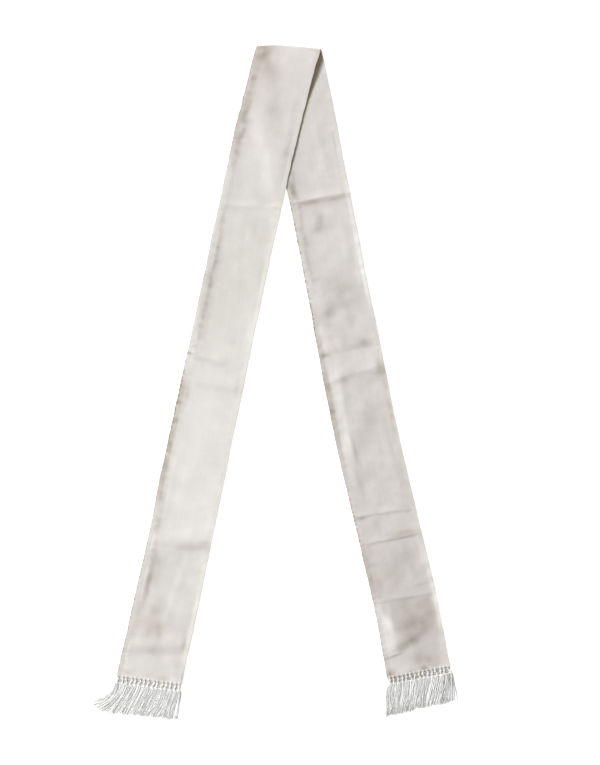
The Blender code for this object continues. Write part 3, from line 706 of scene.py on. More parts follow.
class Threads:
    """Tubes of thread gathered into one mesh.

    The UV map holds the length along a thread in metres and the turn round it, and the field
    `tone` holds how dark a thread is made: how aged it is, with painted shade on the lower layer of
    strands and on the rows behind the knots.
    """

    def __init__(self, sides):
        self.sides = sides
        self.points = []
        self.faces = []
        self.chart = []
        self.tones = []

    def add(self, path, radius, tone=0.0):
        """Add one tube along a path, with one radius or a radius for each of its points."""
        path = np.asarray(path, dtype=float)
        heading = np.gradient(path, axis=0)
        heading /= np.linalg.norm(heading, axis=1)[:, None]
        up = np.array((0.0, 1.0, 0.0) if abs(heading[0][2]) > 0.9 else (0.0, 0.0, 1.0))
        ups = []
        for direction in heading:
            up = up - direction * np.dot(up, direction)
            up = up / np.linalg.norm(up)
            ups.append(up)
        ups = np.array(ups)
        angles = 2.0 * math.pi * np.arange(self.sides)[None, :, None] / self.sides
        ring = (np.cos(angles) * np.cross(heading, ups)[:, None, :]
                + np.sin(angles) * ups[:, None, :])
        radius = np.broadcast_to(radius, len(path))
        base = len(self.tones)
        self.points.append((path[:, None, :] + radius[:, None, None] * ring).reshape(-1, 3))
        self.tones.extend([tone] * (len(path) * self.sides))
        steps = np.linalg.norm(np.diff(path, axis=0), axis=1)
        travelled = np.concatenate([[0.0], np.cumsum(steps)])
        for station, (start, stop) in enumerate(zip(travelled, travelled[1:])):
            here = base + station * self.sides
            there = here + self.sides
            for side in range(self.sides):
                after = (side + 1) % self.sides
                self.faces.append((here + side, there + side, there + after, here + after))
                self.chart += (start, side), (stop, side), (stop, side + 1), (start, side + 1)
        last = len(self.tones) - self.sides
        self.faces.append(range(base, base + self.sides))
        self.faces.append(range(last, last + self.sides)[::-1])
        for end in (travelled[0], travelled[-1]):
            self.chart += ((end, side) for side in range(self.sides))

    def mesh(self, name):
        """All tubes as one mesh in the stole's frame."""
        mesh = bpy.data.meshes.new(name)
        mesh.from_pydata(settle(np.concatenate(self.points)).tolist(), [], self.faces)
        add_chart(mesh, "thread", np.array(self.chart) / (1.0, self.sides))
        add_field(mesh, "tone", self.tones)
        turn_outwards(mesh)
        return mesh


# ---- Finishes ----

class Number:
    """A shader number.  Maths on it adds Math nodes."""

    def __init__(self, finish, socket):
        self.finish = finish
        self.socket = socket

    def maths(self, operation, *others):
        return self.finish.maths(operation, self, *others)

    def __add__(self, other):
        return self.maths("ADD", other)

    def __sub__(self, other):
        return self.maths("SUBTRACT", other)

    def __rsub__(self, other):
        return self.finish.maths("SUBTRACT", other, self)

    def __mul__(self, other):
        return self.maths("MULTIPLY", other)

    __radd__ = __add__
    __rmul__ = __mul__


class Finish:
    """A node material being put together."""

    def __init__(self, name):
        self.material = bpy.data.materials.new(name)
        self.material.use_nodes = True
        self.tree = self.material.node_tree
        self.tree.nodes.clear()
        self.body = self.node("ShaderNodeTexCoord").outputs["Object"]

    def node(self, kind, settings=None, values=None):
        """Add a node, set it up, then set or link its inputs."""
        node = self.tree.nodes.new(kind)
        for name, value in (settings or {}).items():
            setattr(node, name, value)
        for name, value in (values or {}).items():
            socket = node.inputs[name]
            if isinstance(value, Number):
                value = value.socket
            if isinstance(value, bpy.types.NodeSocket):
                self.tree.links.new(value, socket)
            else:
                socket.default_value = value
        return node

    def maths(self, operation, *values):
        """A number worked out from others."""
        node = self.node("ShaderNodeMath", {"operation": operation}, dict(enumerate(values)))
        return Number(self, node.outputs[0])

    def field(self, name):
        """A number that the piece's mesh holds at each vertex."""
        node = self.node("ShaderNodeAttribute", {"attribute_name": name})
        return Number(self, node.outputs["Fac"])

    def surface_map(self, name):
        """The two numbers of the piece's own UV map."""
        chart = self.node("ShaderNodeUVMap", {"uv_map": name})
        parts = self.node("ShaderNodeSeparateXYZ", None, {0: chart.outputs["UV"]})
        return Number(self, parts.outputs["X"]), Number(self, parts.outputs["Y"])

    def grain(self, vector, scale, detail=2.0, roughness=0.5):
        """Smooth random number from 0 to 1 over a vector."""
        node = self.node("ShaderNodeTexNoise", None, {
            "Vector": vector, "Scale": scale, "Detail": detail, "Roughness": roughness})
        return Number(self, node.outputs["Fac"])

    def spot(self, x, y, z=0.0):
        """A vector from three numbers."""
        return self.node("ShaderNodeCombineXYZ", None, {0: x, 1: y, 2: z}).outputs[0]

    def streaks(self, x, y, detail=2.0):
        """Smooth random number over two numbers, drawn out along the one that changes less."""
        return self.grain(self.spot(x, y), 1.0, detail)

    def mix(self, share, first, second, blend="MIX"):
        """Mix two colours."""
        node = self.node("ShaderNodeMix", {"data_type": "RGBA", "blend_type": blend},
                         {"Factor": share, 6: first, 7: second})
        return node.outputs[2]

    def complete(self, shader_values, height=None, depth=0.0, strength=1.0):
        """Join everything to a surface shader and give the material."""
        if height is not None:
            bump = self.node("ShaderNodeBump", None, {
                "Strength": strength, "Distance": depth, "Height": height})
            shader_values["Normal"] = bump.outputs["Normal"]
        shader = self.node("ShaderNodeBsdfPrincipled", None, shader_values)
        self.node("ShaderNodeOutputMaterial", None, {"Surface": shader.outputs[0]})
        return self.material


def rgba(colour):
    return (*colour, 1.0)


BROWN_STAIN_AND_SHADE = (0.42, 0.305, 0.180, 1.0)    # where a stain is heaviest, and deep in the painted shade of the slit
# Grey of soil, and of the painted shade that the grey field carries.
GREY_SOIL_AND_SHADE = (0.20, 0.18, 0.15, 1.0)
SPECK = (0.34, 0.25, 0.17, 1.0)
WARM_SHEEN = (1.0, 0.98, 0.94, 1.0)
WHITE = (1.0, 1.0, 1.0, 1.0)


def silk_finish():
    """Aged ivory silk: fine weave, uneven threads, a soft sheen, tan and grey stains, and the
    painted shade and light that its tan and grey fields carry.
    """
    look = colours()
    finish = Finish("aged ivory silk")
    across, along = finish.surface_map("cloth")

    thread = 2.0 * math.pi / sizes().weave_pitch
    weave = (across * thread).maths("SINE") * (along * thread).maths("SINE")
    down_threads = finish.streaks(across * 1400.0, along * 45.0)
    cross_threads = finish.streaks(across * 45.0, along * 1400.0)
    height = weave * 0.30 + down_threads * 0.8 + cross_threads * 1.0

    broad = finish.grain(finish.body, 9.0, 3.0, 0.55)
    fine = finish.grain(finish.body, 85.0, 3.0, 0.6)
    tan = finish.field("tan") * (0.72 + fine * 0.56)
    grey = finish.field("grey") * (0.80 + fine * 0.40)

    colour = finish.mix(finish.field("reverse"), rgba(look.silk_front), rgba(look.silk_rear))
    faded = finish.mix((broad - 0.25) * 0.25, colour, rgba(look.tan))
    stained = finish.mix(tan * 0.85, faded, rgba(look.tan))
    # Tan past 0.62 turns deep brown; it is reached mostly in the painted shade of the slit beside
    # the fold.
    heavy = (tan - 0.62).maths("MAXIMUM", 0.0) * 2.2
    soiled = finish.mix(heavy, stained, BROWN_STAIN_AND_SHADE)
    greyed = finish.mix(grey * 0.55, soiled, GREY_SOIL_AND_SHADE)
    dashes = (finish.streaks(along * 200.0, across * 160.0) - 0.40) * 5.0
    dashes = dashes.maths("MAXIMUM", 0.0).maths("MINIMUM", 1.0)
    specked = finish.mix(finish.field("specks") * dashes, greyed, SPECK)
    mottle = finish.grain(finish.body, 38.0, 2.0)
    streaks = finish.streaks(across * 260.0, along * 9.0)
    thready = ((down_threads + cross_threads) * 0.10 + (mottle - 0.5) * 0.16
               + (streaks - 0.5) * 0.06 + 0.90)
    flush = finish.field("flush")
    pink = finish.spot(thready, thready * (1.0 - flush * 0.011), thready * (flush * 0.005 + 1.0))
    return finish.complete({
        "Base Color": finish.mix(1.0, specked, pink, "MULTIPLY"),
        "Roughness": 0.44 + (broad - 0.5) * 0.12 + tan * 0.18, "Specular IOR Level": 0.35,
        "Sheen Weight": 0.22, "Sheen Roughness": 0.35, "Sheen Tint": WARM_SHEEN,
    }, height, depth=0.00012, strength=0.55)


def thread_finish(name, colour, aged, twist, roughness, sheen):
    """Twisted thread: plies as a spiral along the tube, from its own map; `tone` mixes its colour
    towards `aged`, which for the rows behind the knots is the colour of painted shade.
    """
    finish = Finish(name)
    length, turn = finish.surface_map("thread")
    plies = (length * (2.0 * math.pi / twist) + turn * (4.0 * math.pi)).maths("SINE")
    fibre = finish.streaks(length * 900.0, turn * 3.0)
    blotch = finish.grain(finish.body, 60.0, 2.0)
    # The tone darkens along the grooves between the plies and lightens on their crests: painted
    # shade.
    tone = finish.field("tone") + (blotch - 0.5) * 0.25 - plies * 0.05
    return finish.complete({
        "Base Color": finish.mix(tone.maths("MAXIMUM", 0.0), rgba(colour), rgba(aged)),
        "Roughness": roughness + (fibre - 0.5) * 0.15, "Specular IOR Level": 0.4,
        "Sheen Weight": sheen, "Sheen Roughness": 0.4,
    }, plies * 0.5 + fibre * 0.5, depth=0.00010, strength=0.7)


FLOOR_GLOW = 0.50                 # the floor is lit a little from below, as a light table is


def floor_finish():
    """Plain pale studio floor."""
    finish = Finish("studio floor")
    cloud = finish.grain(finish.body, 2.0)
    return finish.complete({
        "Base Color": finish.mix(cloud, rgba(colours().floor), (0.95, 0.95, 0.95, 1.0)),
        "Roughness": 0.9, "Specular IOR Level": 0.1,
        "Emission Color": WHITE, "Emission Strength": FLOOR_GLOW})


# ---- The cloth ----

EDGE_COLUMNS = np.array(
    (0.0, 0.15, 0.5, 1.2, 2.6, 4.2, 5.3, 5.9, 6.35, 6.8, 7.4, 8.3, 9.8)) * MM
END_ROWS = np.array((0.0, 0.15, 0.5, 1.2, 2.2, 3.4, 4.8)) * MM
INNER_COLUMNS = 32
LOOP_ROWS = 17                    # rows on each side of the fold's line
LOOP_REACH = 0.0085
PLAIN_STEP = 0.0030
FINE_STEP = 0.0015
SCALLOP = 0.0003                  # the end's edge is drawn up this far between the cords
SCALLOP_REACH = 0.008
WIDE_CREASE = 1.7                 # the mesh's rows follow creases that are wider than this
CREASE_RUN = 0.0895               # a crease's length across the cloth
STEEPEST_ROW = 0.42
CREASE_ROWS, CREASE_ROWS_FADE = 0.003, 0.006    # they are closer this near a crest


def row_slopes(stretch):
    """Distances from the fold and the slope that the mesh's rows have there."""
    places, slopes = [0.0, 0.03], [math.tan(LEAN)] * 2
    for crease in stretch.creases:
        if crease.stop - crease.start > WIDE_CREASE and crease.rise > 0.0:
            tilt = (crease.right - crease.left) / CREASE_RUN
            places.append(crease.middle)
            slopes.append(stretch.side * max(tilt, -STEEPEST_ROW))
    return places + [stretch.length], slopes + [stretch.hem_slope]


def stretch_rows(stretch):
    """Distances from the fold of one stretch's rows beyond the fold, closer at its creases."""
    crests = np.array([crease.middle for crease in stretch.creases])
    rows = []
    distance = LOOP_REACH
    while True:
        away = np.abs(crests - distance).min()
        plain = float(ease((away - CREASE_ROWS) / CREASE_ROWS_FADE))
        distance += FINE_STEP + (PLAIN_STEP - FINE_STEP) * plain
        if distance > stretch.length - END_ROWS[-1] - 0.4 * PLAIN_STEP:
            return rows + [stretch.length - inset for inset in reversed(END_ROWS)]
        rows.append(distance)


def cloth_grid():
    """Cloth places of the mesh, as arrays of `along` and `across`."""
    loop = [LOOP_REACH * (index / LOOP_ROWS) for index in range(-LOOP_ROWS, LOOP_ROWS + 1)]
    rows = [-row for row in reversed(stretch_rows(LEFT))] + loop + stretch_rows(RIGHT)
    places = []
    for row in rows:
        stretch = LEFT if row < 0.0 else RIGHT
        half = float(half_width(np.array(row)))
        inner = half - EDGE_COLUMNS[-1]
        middle = np.linspace(-inner, inner, INNER_COLUMNS + 1)[1:-1]
        edge = half - EDGE_COLUMNS
        across = np.concatenate([-edge, middle, edge[::-1]])
        along = row + np.interp(abs(row), *row_slopes(stretch)) * across
        to_end = stretch.length - abs(row)
        if to_end < SCALLOP_REACH:
            knots = KNOTS_PER_END * 0.5 * (across / half + 1.0)
            pulled = SCALLOP * (0.5 + 0.5 * np.cos(2.0 * math.pi * knots))
            along = along - stretch.side * pulled * float(1.0 - ease(to_end / SCALLOP_REACH))
        places.append((along, across))
    return np.array(places).transpose(1, 0, 2)


BROAD_SWAY = Cloud(0.0009, 22.0, 2.0, 2.3)
FINE_SWAY = Cloud(0.0006, 85.0, 1.0, 6.1)


def edge_sway(along, across):
    """Slight wandering of the side edges, as a sideways move of the cloth near them."""
    side = np.sign(across)
    sway = cloudy(BROAD_SWAY, along, side) + cloudy(FINE_SWAY, along, side)
    return sway * (np.abs(across) / half_width(along)) ** 6 * ease(np.abs(along) / 0.02)


SLIT_WIDTHS = (0.0019, 0.0046)    # the painted shade in the slit is this wide, and this much wider at the fold
SLIT_WIDENING = 0.14              # down to this far below the fold
SLIT_END, SLIT_FADE = 0.155, 0.055
SLIT_START = 0.02                 # it starts this far under the front stretch


def slit_shade(along, across):
    """How much painted shade the rear stretch gets in the slit beside the front one's right edge,
    where the raised front layer shades it.
    """
    right, forward, beyond = place(along, across)
    below = -(right * SIN_LEAN + forward * COS_LEAN)
    width, shift = (read_table(LEFT.course, np.maximum(below, 0.0), column)
                    for column in ("width", "shift"))
    beside = right * COS_LEAN - forward * SIN_LEAN - 0.5 * width - shift
    reach = 0.6 * (SLIT_WIDTHS[0] + SLIT_WIDTHS[1] * (1.0 - ease(below / SLIT_WIDENING)))
    soil = (1.0 - ease((beside - reach) / reach)) * (1.0 - ease((below - SLIT_END) / SLIT_FADE))
    return np.where(beyond > 0.0, soil * ease((beside + SLIT_START) / 0.01), 0.0)


RAGGED = Cloud(0.5, 60.0, 60.0, 4.4)
BLOTCHY = Cloud(0.75, 130.0, 60.0, 8.8)
BLUR_DOWN = Cloud(0.006, 50.0, 50.0, 11.1)
BLUR_ACROSS = Cloud(0.005, 50.0, 50.0, 13.3)
BAND_DRIFT = Cloud(0.003, 40.0, 1.0, 19.3)
HEM_TAN, HEM_TAN_FADE = 0.0055, 0.0050       # width of the darkened left hem
BAND_PLACE, BAND_REACH = 0.0108, 0.0036      # the band of painted shade along its inner side
SKIRT, SKIRT_PLACE, SKIRT_REACH = 0.25, 0.005, 0.008     # its paler part, further in
LINE_PLACE, LINE_REACH = 0.0008, 0.0017      # of fine lines: painted shade along creases, specks along the left hem's edge
LINE_TAN, LINE_GREY = 0.5, 0.8
RIGHT_TAN, RIGHT_TAN_FADE = 0.005, 0.003     # width of the right hem's darkened and painted-light edge
DARKENING_TAN = 0.35                   # how much tan goes with that darkening, for its grey


def mark_fields(along, across):
    """How tan, grey, specked and pink the cloth is at cloth places."""
    half = half_width(along)
    tan, grey, specks, flush = (np.zeros_like(along) for _ in range(4))
    ragged = 0.62 + cloudy(RAGGED, along, across)
    blotchy = 0.80 + cloudy(BLOTCHY, along, across)
    blur_down = cloudy(BLUR_DOWN, along, across)
    blur_across = cloudy(BLUR_ACROSS, along, across)
    for stretch in (LEFT, RIGHT):
        own = along * stretch.side >= 0.0
        run, wide, limit = np.abs(along)[own], across[own], half[own]
        part = wide / limit
        own_tan, own_grey = np.zeros_like(run), np.zeros_like(run)
        for mark in stretch.marks:
            loose = min(1.0, min(mark.down, mark.across) / FIRM_MARK)
            down = run - mark.along + loose * blur_down[own]
            sideways = (part - mark.share) * MEAN_HALF_WIDTH + loose * blur_across[own]
            turn = math.radians(mark.turn)
            first = down * math.cos(turn) + sideways * math.sin(turn)
            second = sideways * math.cos(turn) - down * math.sin(turn)
            spot = np.exp(-(first / mark.down) ** 2 - (second / mark.across) ** 2)
            own_tan += mark.tan * spot
            own_grey += mark.grey * spot
        # Painted shade: a fine dark line just past each crease's crest.
        for crease in stretch.creases:
            line = bell(run - crest_line(crease, part) - LINE_PLACE, LINE_REACH)
            line *= crease.soil * crease_fade(crease, part)
            own_tan += LINE_TAN * line
            own_grey += LINE_GREY * line

        edge_tan, band_shade, right_tan, dark, darker, pink = (
            read_table(rows, run, column) for rows, column in (
                (stretch.hems, "left_edge"), (stretch.hems, "left_band"),
                (stretch.hems, "right_edge"), (stretch.hems, "specks"),
                (stretch.ageing, "amount"), (stretch.ageing, "pink")))
        inset = limit - np.abs(wide)
        at_left = wide < 0.0
        # The left hem's edge is darkened towards tan, and lightened as painted light where its
        # amount is negative; a band of painted shade runs along the hem's inner side, where its
        # roll shades the cloth.
        edge = 1.0 - ease((inset - HEM_TAN) / HEM_TAN_FADE)
        drift = inset - BAND_PLACE + cloudy(BAND_DRIFT, run, at_left, stretch.side)
        band = bell(drift, BAND_REACH) + SKIRT * bell(drift - SKIRT_PLACE, SKIRT_REACH)
        left_tan = edge_tan * edge + 0.6 * band_shade * band
        left_grey = 0.5 * left_tan + 0.5 * band_shade * band
        # The right hem's edge is darkened where its amount is positive, and painted light where it
        # is negative, on the raised edge that faces the key light.
        right_tan = (right_tan * ease(inset / RIGHT_TAN_FADE)
                     * (1.0 - ease((inset - RIGHT_TAN) / RIGHT_TAN_FADE)))
        tan[own] = (own_tan * ragged[own] + DARKENING_TAN * darker
                    + np.where(at_left, left_tan, right_tan) * blotchy[own])
        grey[own] = (own_grey * ragged[own] + darker
                     + np.where(at_left, left_grey, 0.3 * right_tan) * blotchy[own])
        specks[own] = np.where(at_left, dark * bell(inset - LINE_PLACE, LINE_REACH), 0.0)
        flush[own] = pink
    # The slit beside the front stretch's right edge gets its painted shade through the tan field.
    return {"tan": np.clip(tan + slit_shade(along, across), 0.0, 1.0),
            "grey": np.clip(grey, 0.0, 1.0), "specks": specks, "flush": flush}


def shell_faces(rows, columns):
    """Faces of a closed shell over two grids of points, the second numbered after the first."""
    index = np.arange(rows * columns).reshape(rows, columns)
    outer = np.stack([index[:-1, :-1], index[:-1, 1:], index[1:, 1:], index[1:, :-1]], axis=-1)
    inner = outer[..., ::-1] + rows * columns
    here = np.concatenate([index[0], index[1:, -1], index[-1, -2::-1], index[-2:0:-1, 0]])
    there = np.roll(here, -1)
    rim = np.stack([here, here + rows * columns, there + rows * columns, there], axis=-1)
    return np.concatenate([outer.reshape(-1, 4), inner.reshape(-1, 4), rim])


class STOLE_OT_cloth(Operator):
    """Lay the silk: one length, folded over, with turned hems, creases, old stains and painted
    shade
    """

    bl_idname = "stole.cloth"
    bl_label = "Lay the cloth"

    def execute(self, context):
        along, across = cloth_grid()
        sides = np.stack(lay(along, across))
        sides[..., 0] += edge_sway(along, across) * COS_LEAN
        faces = shell_faces(*along.shape)
        mesh = bpy.data.meshes.new("stole_cloth")
        mesh.from_pydata(settle(sides.reshape(-1, 3)).tolist(), [], faces.tolist())
        chart = np.stack([across.ravel(), along.ravel()], axis=-1)
        add_chart(mesh, "cloth", np.concatenate([chart, chart])[faces.ravel()])
        for name, values in mark_fields(along, across).items():
            add_field(mesh, name, np.concatenate([values, values]))
        add_field(mesh, "reverse", np.repeat((0.0, 1.0), along.size))
        turn_outwards(mesh)
        cloth = link_piece("stole_cloth", mesh, silk_finish())
        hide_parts("left_stretch", "right_stretch")
        return {"FINISHED"}


# ---- Hem stitching ----

STITCH_SHARES = np.array((-0.5, -0.30, 0.0, 0.30, 0.5))     # places down a stitch
STITCH_HEIGHTS = np.array((-1.3, 0.25, 0.75, 0.25, -1.3))   # off the cloth, in thread radii
STITCH_JITTER, STITCH_TILT = 0.0003, 0.00025
STITCH_LINE = 0.0002              # the row is this far inside the hem's width
LAST_STITCH = 0.004               # no stitch is nearer to the cloth's ends


class STOLE_OT_hem_stitches(Operator):
    """Sew the turned side hems with a row of small stitches on each face"""

    bl_idname = "stole.hem_stitches"
    bl_label = "Sew the hems"

    def execute(self, context):
        make = sizes()
        draw = random.Random(11)
        threads = Threads(5)
        middles = np.arange(-LEFT_LENGTH + 0.006, RIGHT_LENGTH - 0.006, make.stitch_pitch)
        proud = (STITCH_HEIGHTS * make.stitch_radius)[:, None]
        for side in (-1.0, 1.0):
            jitter, tilt = (np.array([draw.uniform(-most, most) for _ in middles])
                            for most in (STITCH_JITTER, STITCH_TILT))
            base = (middles + jitter)[:, None] + STITCH_SHARES * make.stitch_length
            across = (side * (half_width(base) - make.hem_width - STITCH_LINE)
                      + tilt[:, None] * STITCH_SHARES)
            inside = end_distance(base < 0.0, base, across)
            sway = edge_sway(base, across)[..., None] * np.array((COS_LEAN, 0.0, 0.0))
            outer, inner = (face + sway for face in lay(base, across))
            up = outer - inner
            up /= np.linalg.norm(up, axis=-1)[..., None]
            for number in range(len(middles)):
                if inside[number].min() < LAST_STITCH:
                    continue
                for path in (outer[number] + up[number] * proud,
                             inner[number] - up[number] * proud):
                    path[:, 2] = np.maximum(path[:, 2], make.stitch_radius)
                    threads.add(path, make.stitch_radius, draw.uniform(0.0, 0.25))
        look = colours()
        finish = thread_finish("hem sewing thread", look.stitches, look.tan, 0.0009, 0.55, 0.2)
        link_piece("hem_stitches", threads.mesh("hem_stitches"), finish)
        return {"FINISHED"}


# ---- The fringe ----

class FringedEnd:
    """Frame of one fringed end: `hem` runs along the cloth's end and `down` away from it."""

    def __init__(self, stretch):
        self.stretch = stretch
        self.end = stretch.side * stretch.length
        self.cloth_half = 0.5 * float(read_table(stretch.course, stretch.length, "width"))
        across = np.array((-1.0, 1.0)) * self.cloth_half
        right, forward, _ = place(self.end + stretch.hem_slope * across, across)
        first, second = np.stack([right, forward, (0.0, 0.0)], axis=-1)
        self.half = 0.5 * float(np.linalg.norm(second - first))
        self.middle = 0.5 * (first + second)
        self.hem = (second - first) / np.linalg.norm(second - first)
        self.down = np.array((self.hem[1], -self.hem[0], 0.0))
        self.pitch = 2.0 * self.half / KNOTS_PER_END

    def point(self, along_hem, below, height):
        """Positions from distances along the hem, below it and above the surface."""
        along_hem, below, height = np.broadcast_arrays(along_hem, below, height)
        flat = self.middle + along_hem[..., None] * self.hem + below[..., None] * self.down
        flat[..., 2] += height
        return flat

    def cloth_faces(self, along_hem, inset):
        """Heights of the cloth's lower and upper face near its fringed end."""
        across = np.array([along_hem / self.half * self.cloth_half])
        along = self.end - self.stretch.side * inset + self.stretch.hem_slope * across
        return sorted(float(face[0][2]) for face in lay(along, across))

    def swept(self, share, column):
        """What the end's table of sweeps says at a share of the half width."""
        return float(read_table(self.stretch.sweep, share, column))


class Head:
    """Course of one tassel's head down from the cloth's end: a slight S."""

    def __init__(self, centre, draw):
        self.centre = centre
        self.lean = draw.uniform(-0.23, 0.18)
        self.bow = draw.uniform(0.0003, 0.0011) * draw.choice((-1.0, 1.0, 1.0, 1.0))

    def across(self, below):
        turn = 2.0 * math.pi * below / KNOT_REACHES[1]
        return self.centre + self.lean * (below - 0.006) + self.bow * np.sin(turn)


def add_head(threads, end, head, draw):
    """One tassel's head: four plies looped through the cloth's end and knotted twice."""
    under, top = end.cloth_faces(head.centre, 0.0018)
    edge_under, edge_top = end.cloth_faces(head.centre, 0.0004)
    low = max(PLY_RADIUS + 0.00005, edge_under - 0.6 * PLY_RADIUS)
    hole = head.centre + draw.uniform(-0.0006, 0.0006)
    tone = end.stretch.head_age + draw.uniform(0.0, 0.10)
    start = draw.uniform(0.0, math.pi)
    twist = np.linspace(0.0, 1.0, 10)
    below = 0.0014 + twist * (HEAD_REACH - 0.0018)
    pinch = PLY_SPREAD - PLY_PINCH * np.cos(4.0 * math.pi * twist)
    # Each ply's way through the cloth: how far it spreads, how far below the end, how high.
    over_lead = np.array((
        (0.0003, -0.0022, top - 0.0005), (0.0005, -0.0018, top + 0.7 * PLY_RADIUS),
        (0.00065, -0.0008, edge_top + 0.8 * PLY_RADIUS), (0.00070, 0.0004, HEAD_HEIGHT + 0.0002)))
    under_lead = np.array((
        (0.0002, -0.0018, under + 0.0003), (0.0006, -0.0006, low), (0.0008, 0.0006, low + 0.0003)))
    for ply in range(4):
        over = ply < 2
        spread = (ply % 2 - 0.5) * 2.0
        angle = start + math.pi * 0.5 * (ply % 2 * 2 + (0 if over else 1)) + twist * PLY_TWIST
        twisted = end.point(head.across(below) + pinch * np.cos(angle), below,
                            HEAD_HEIGHT + pinch * 0.9 * np.sin(angle))
        aside, reach, height = (over_lead if over else under_lead).T
        lead = end.point(hole + spread * aside, reach, height)
        threads.add(np.concatenate([lead, twisted]),
                    PLY_RADIUS if over else PLY_RADIUS * UNDER_PLY, tone + draw.uniform(0.0, 0.08))
    for reach, radius, turns in zip(KNOT_REACHES, KNOT_RADII, KNOT_TURNS):
        wrap = np.linspace(0.0, 1.0, int(turns * 9))
        angle = draw.uniform(0.0, 6.28) + wrap * turns * 2.0 * math.pi
        swell = 1.0 + 0.16 * np.sin(math.pi * wrap)
        width = radius * swell * draw.uniform(0.82, 1.22)
        middle = reach + draw.uniform(-0.0009, 0.0009)
        below = middle + (wrap - 0.5) * WRAP_PITCH * turns
        threads.add(end.point(head.across(middle) + width * np.cos(angle), below,
                              HEAD_HEIGHT + KNOT_RISE * swell * np.sin(angle)),
                    WRAP_RADIUS, tone)


def add_crossings(threads, end, head, following, draw):
    """Threads that slant from one tassel's upper knot to the next one's."""
    for _ in range(draw.choice((0, 1, 1, 2))):
        run = np.linspace(-1.0, 1.0, 6)
        slant = draw.uniform(0.0008, 0.0026) * draw.choice((-1.0, 1.0, 1.0))
        below = KNOT_REACHES[0] + draw.uniform(-0.0012, 0.0016) + slant * run
        share = 0.5 + run * 0.42
        across = head.across(below) * (1.0 - share) + following.across(below) * share
        height = HEAD_HEIGHT - 0.0002 + 0.00022 * np.cos(run * 1.5)
        threads.add(end.point(across, below, height), draw.uniform(0.00034, 0.00056),
                    end.stretch.head_age + draw.uniform(0.10, 0.50))


def add_strand(threads, end, root, tip_share, reach, swing, level, tone, draw):
    """One strand, from its place under a knot to its tip on the surface."""
    length = reach * end.swept(tip_share, "length")
    angle = math.radians(end.swept(tip_share, "angle") + swing) - FOLD_TILT
    heading = np.array((math.sin(angle), -math.cos(angle), 0.0))
    start = end.point(tip_share * end.half, HEAD_REACH, 0.0)
    lead = STRAND_LEAD
    if end.stretch is LEFT:
        lead += CORNER_LEAD * float(ease((-tip_share - 0.45) / 0.45))
    control = start + end.down * length * lead
    tip = start + heading * length
    radius = sizes().strand_radius * draw.uniform(0.78, 1.12)
    tip[2] = radius + 0.0001 + level * TIP_STEP + draw.uniform(0.0, 0.0003)
    control[2] = 0.4 * root[2] + 0.6 * tip[2] + 0.0003
    run = np.linspace(0.0, 1.0, 11)[:, None]
    path = (1.0 - run) ** 2 * root + 2.0 * run * (1.0 - run) * control + run ** 2 * tip
    phase = draw.uniform(0.0, 6.28)
    swell = draw.uniform(*WAVINESS)
    path += (np.array((-heading[1], heading[0], 0.0)) * swell * run
             * np.sin(2.0 * math.pi * draw.uniform(0.5, 1.5) * run + phase))
    path += end.hem * end.swept(tip_share, "bulge") * np.sin(math.pi * run ** 0.8)
    path[:, 2] = np.maximum(path[:, 2], radius + 0.00005)
    threads.add(path, radius * (1.0 - TAPER * run[:, 0]), tone)


Place = namedtuple("Place", "level spread swing trim dulled")
LOOSE_SHARE = 0.6                 # part of a tassel's strands that hang in its loose layer
LOOSE_SPREAD = 1.50               # and that layer's width for the tassel's
SWING, STRAY = 7.5, 2.6           # degrees either way that locks and strands leave their sweep
WAVINESS = (0.0002, 0.0010)       # how far a strand waves sideways
FOOT_WIDTH = 0.0056               # the strands leave the lower knot over this width
THINNED, LOST_SHARE = 0.2, 0.12   # tassels that are more worn have lost some strands
CORNER_START = 0.62               # the front end's corners start at this share
WORN_START, WORN_REACH = 0.74, 0.10          # and the rear end's worn part


def strand_places(total, wild, draw):
    """Where one tassel's strands hang: a loose layer on the surface, then gathered locks."""
    loose = int(LOOSE_SHARE * total)
    locks = draw.choice((3, 4))
    trim = draw.uniform(-0.04, 0.03)
    places = [Place(0, ((number + 0.5) / loose - 0.5) * LOOSE_SPREAD,
                    draw.uniform(-SWING, SWING) * wild, trim, draw.choice((0.0, 0.0, 0.05)))
              for number in range(loose)]
    count = (total - loose) // locks
    for lock in range(locks):
        middle = (lock + 0.5) / locks - 0.5 + draw.uniform(-0.10, 0.10)
        swing = draw.uniform(-SWING, SWING) * wild
        dulled = draw.choice((0.0, 0.0, 0.0, 0.05, 0.12))
        gather = draw.uniform(0.6, 1.1)
        trim = draw.uniform(-0.06, 0.05)
        for number in range(count):
            offset = ((number + 0.5) / count - 0.5) / locks
            places.append(Place(1 + number % 2, middle + offset * gather, swing, trim, dulled))
    return places


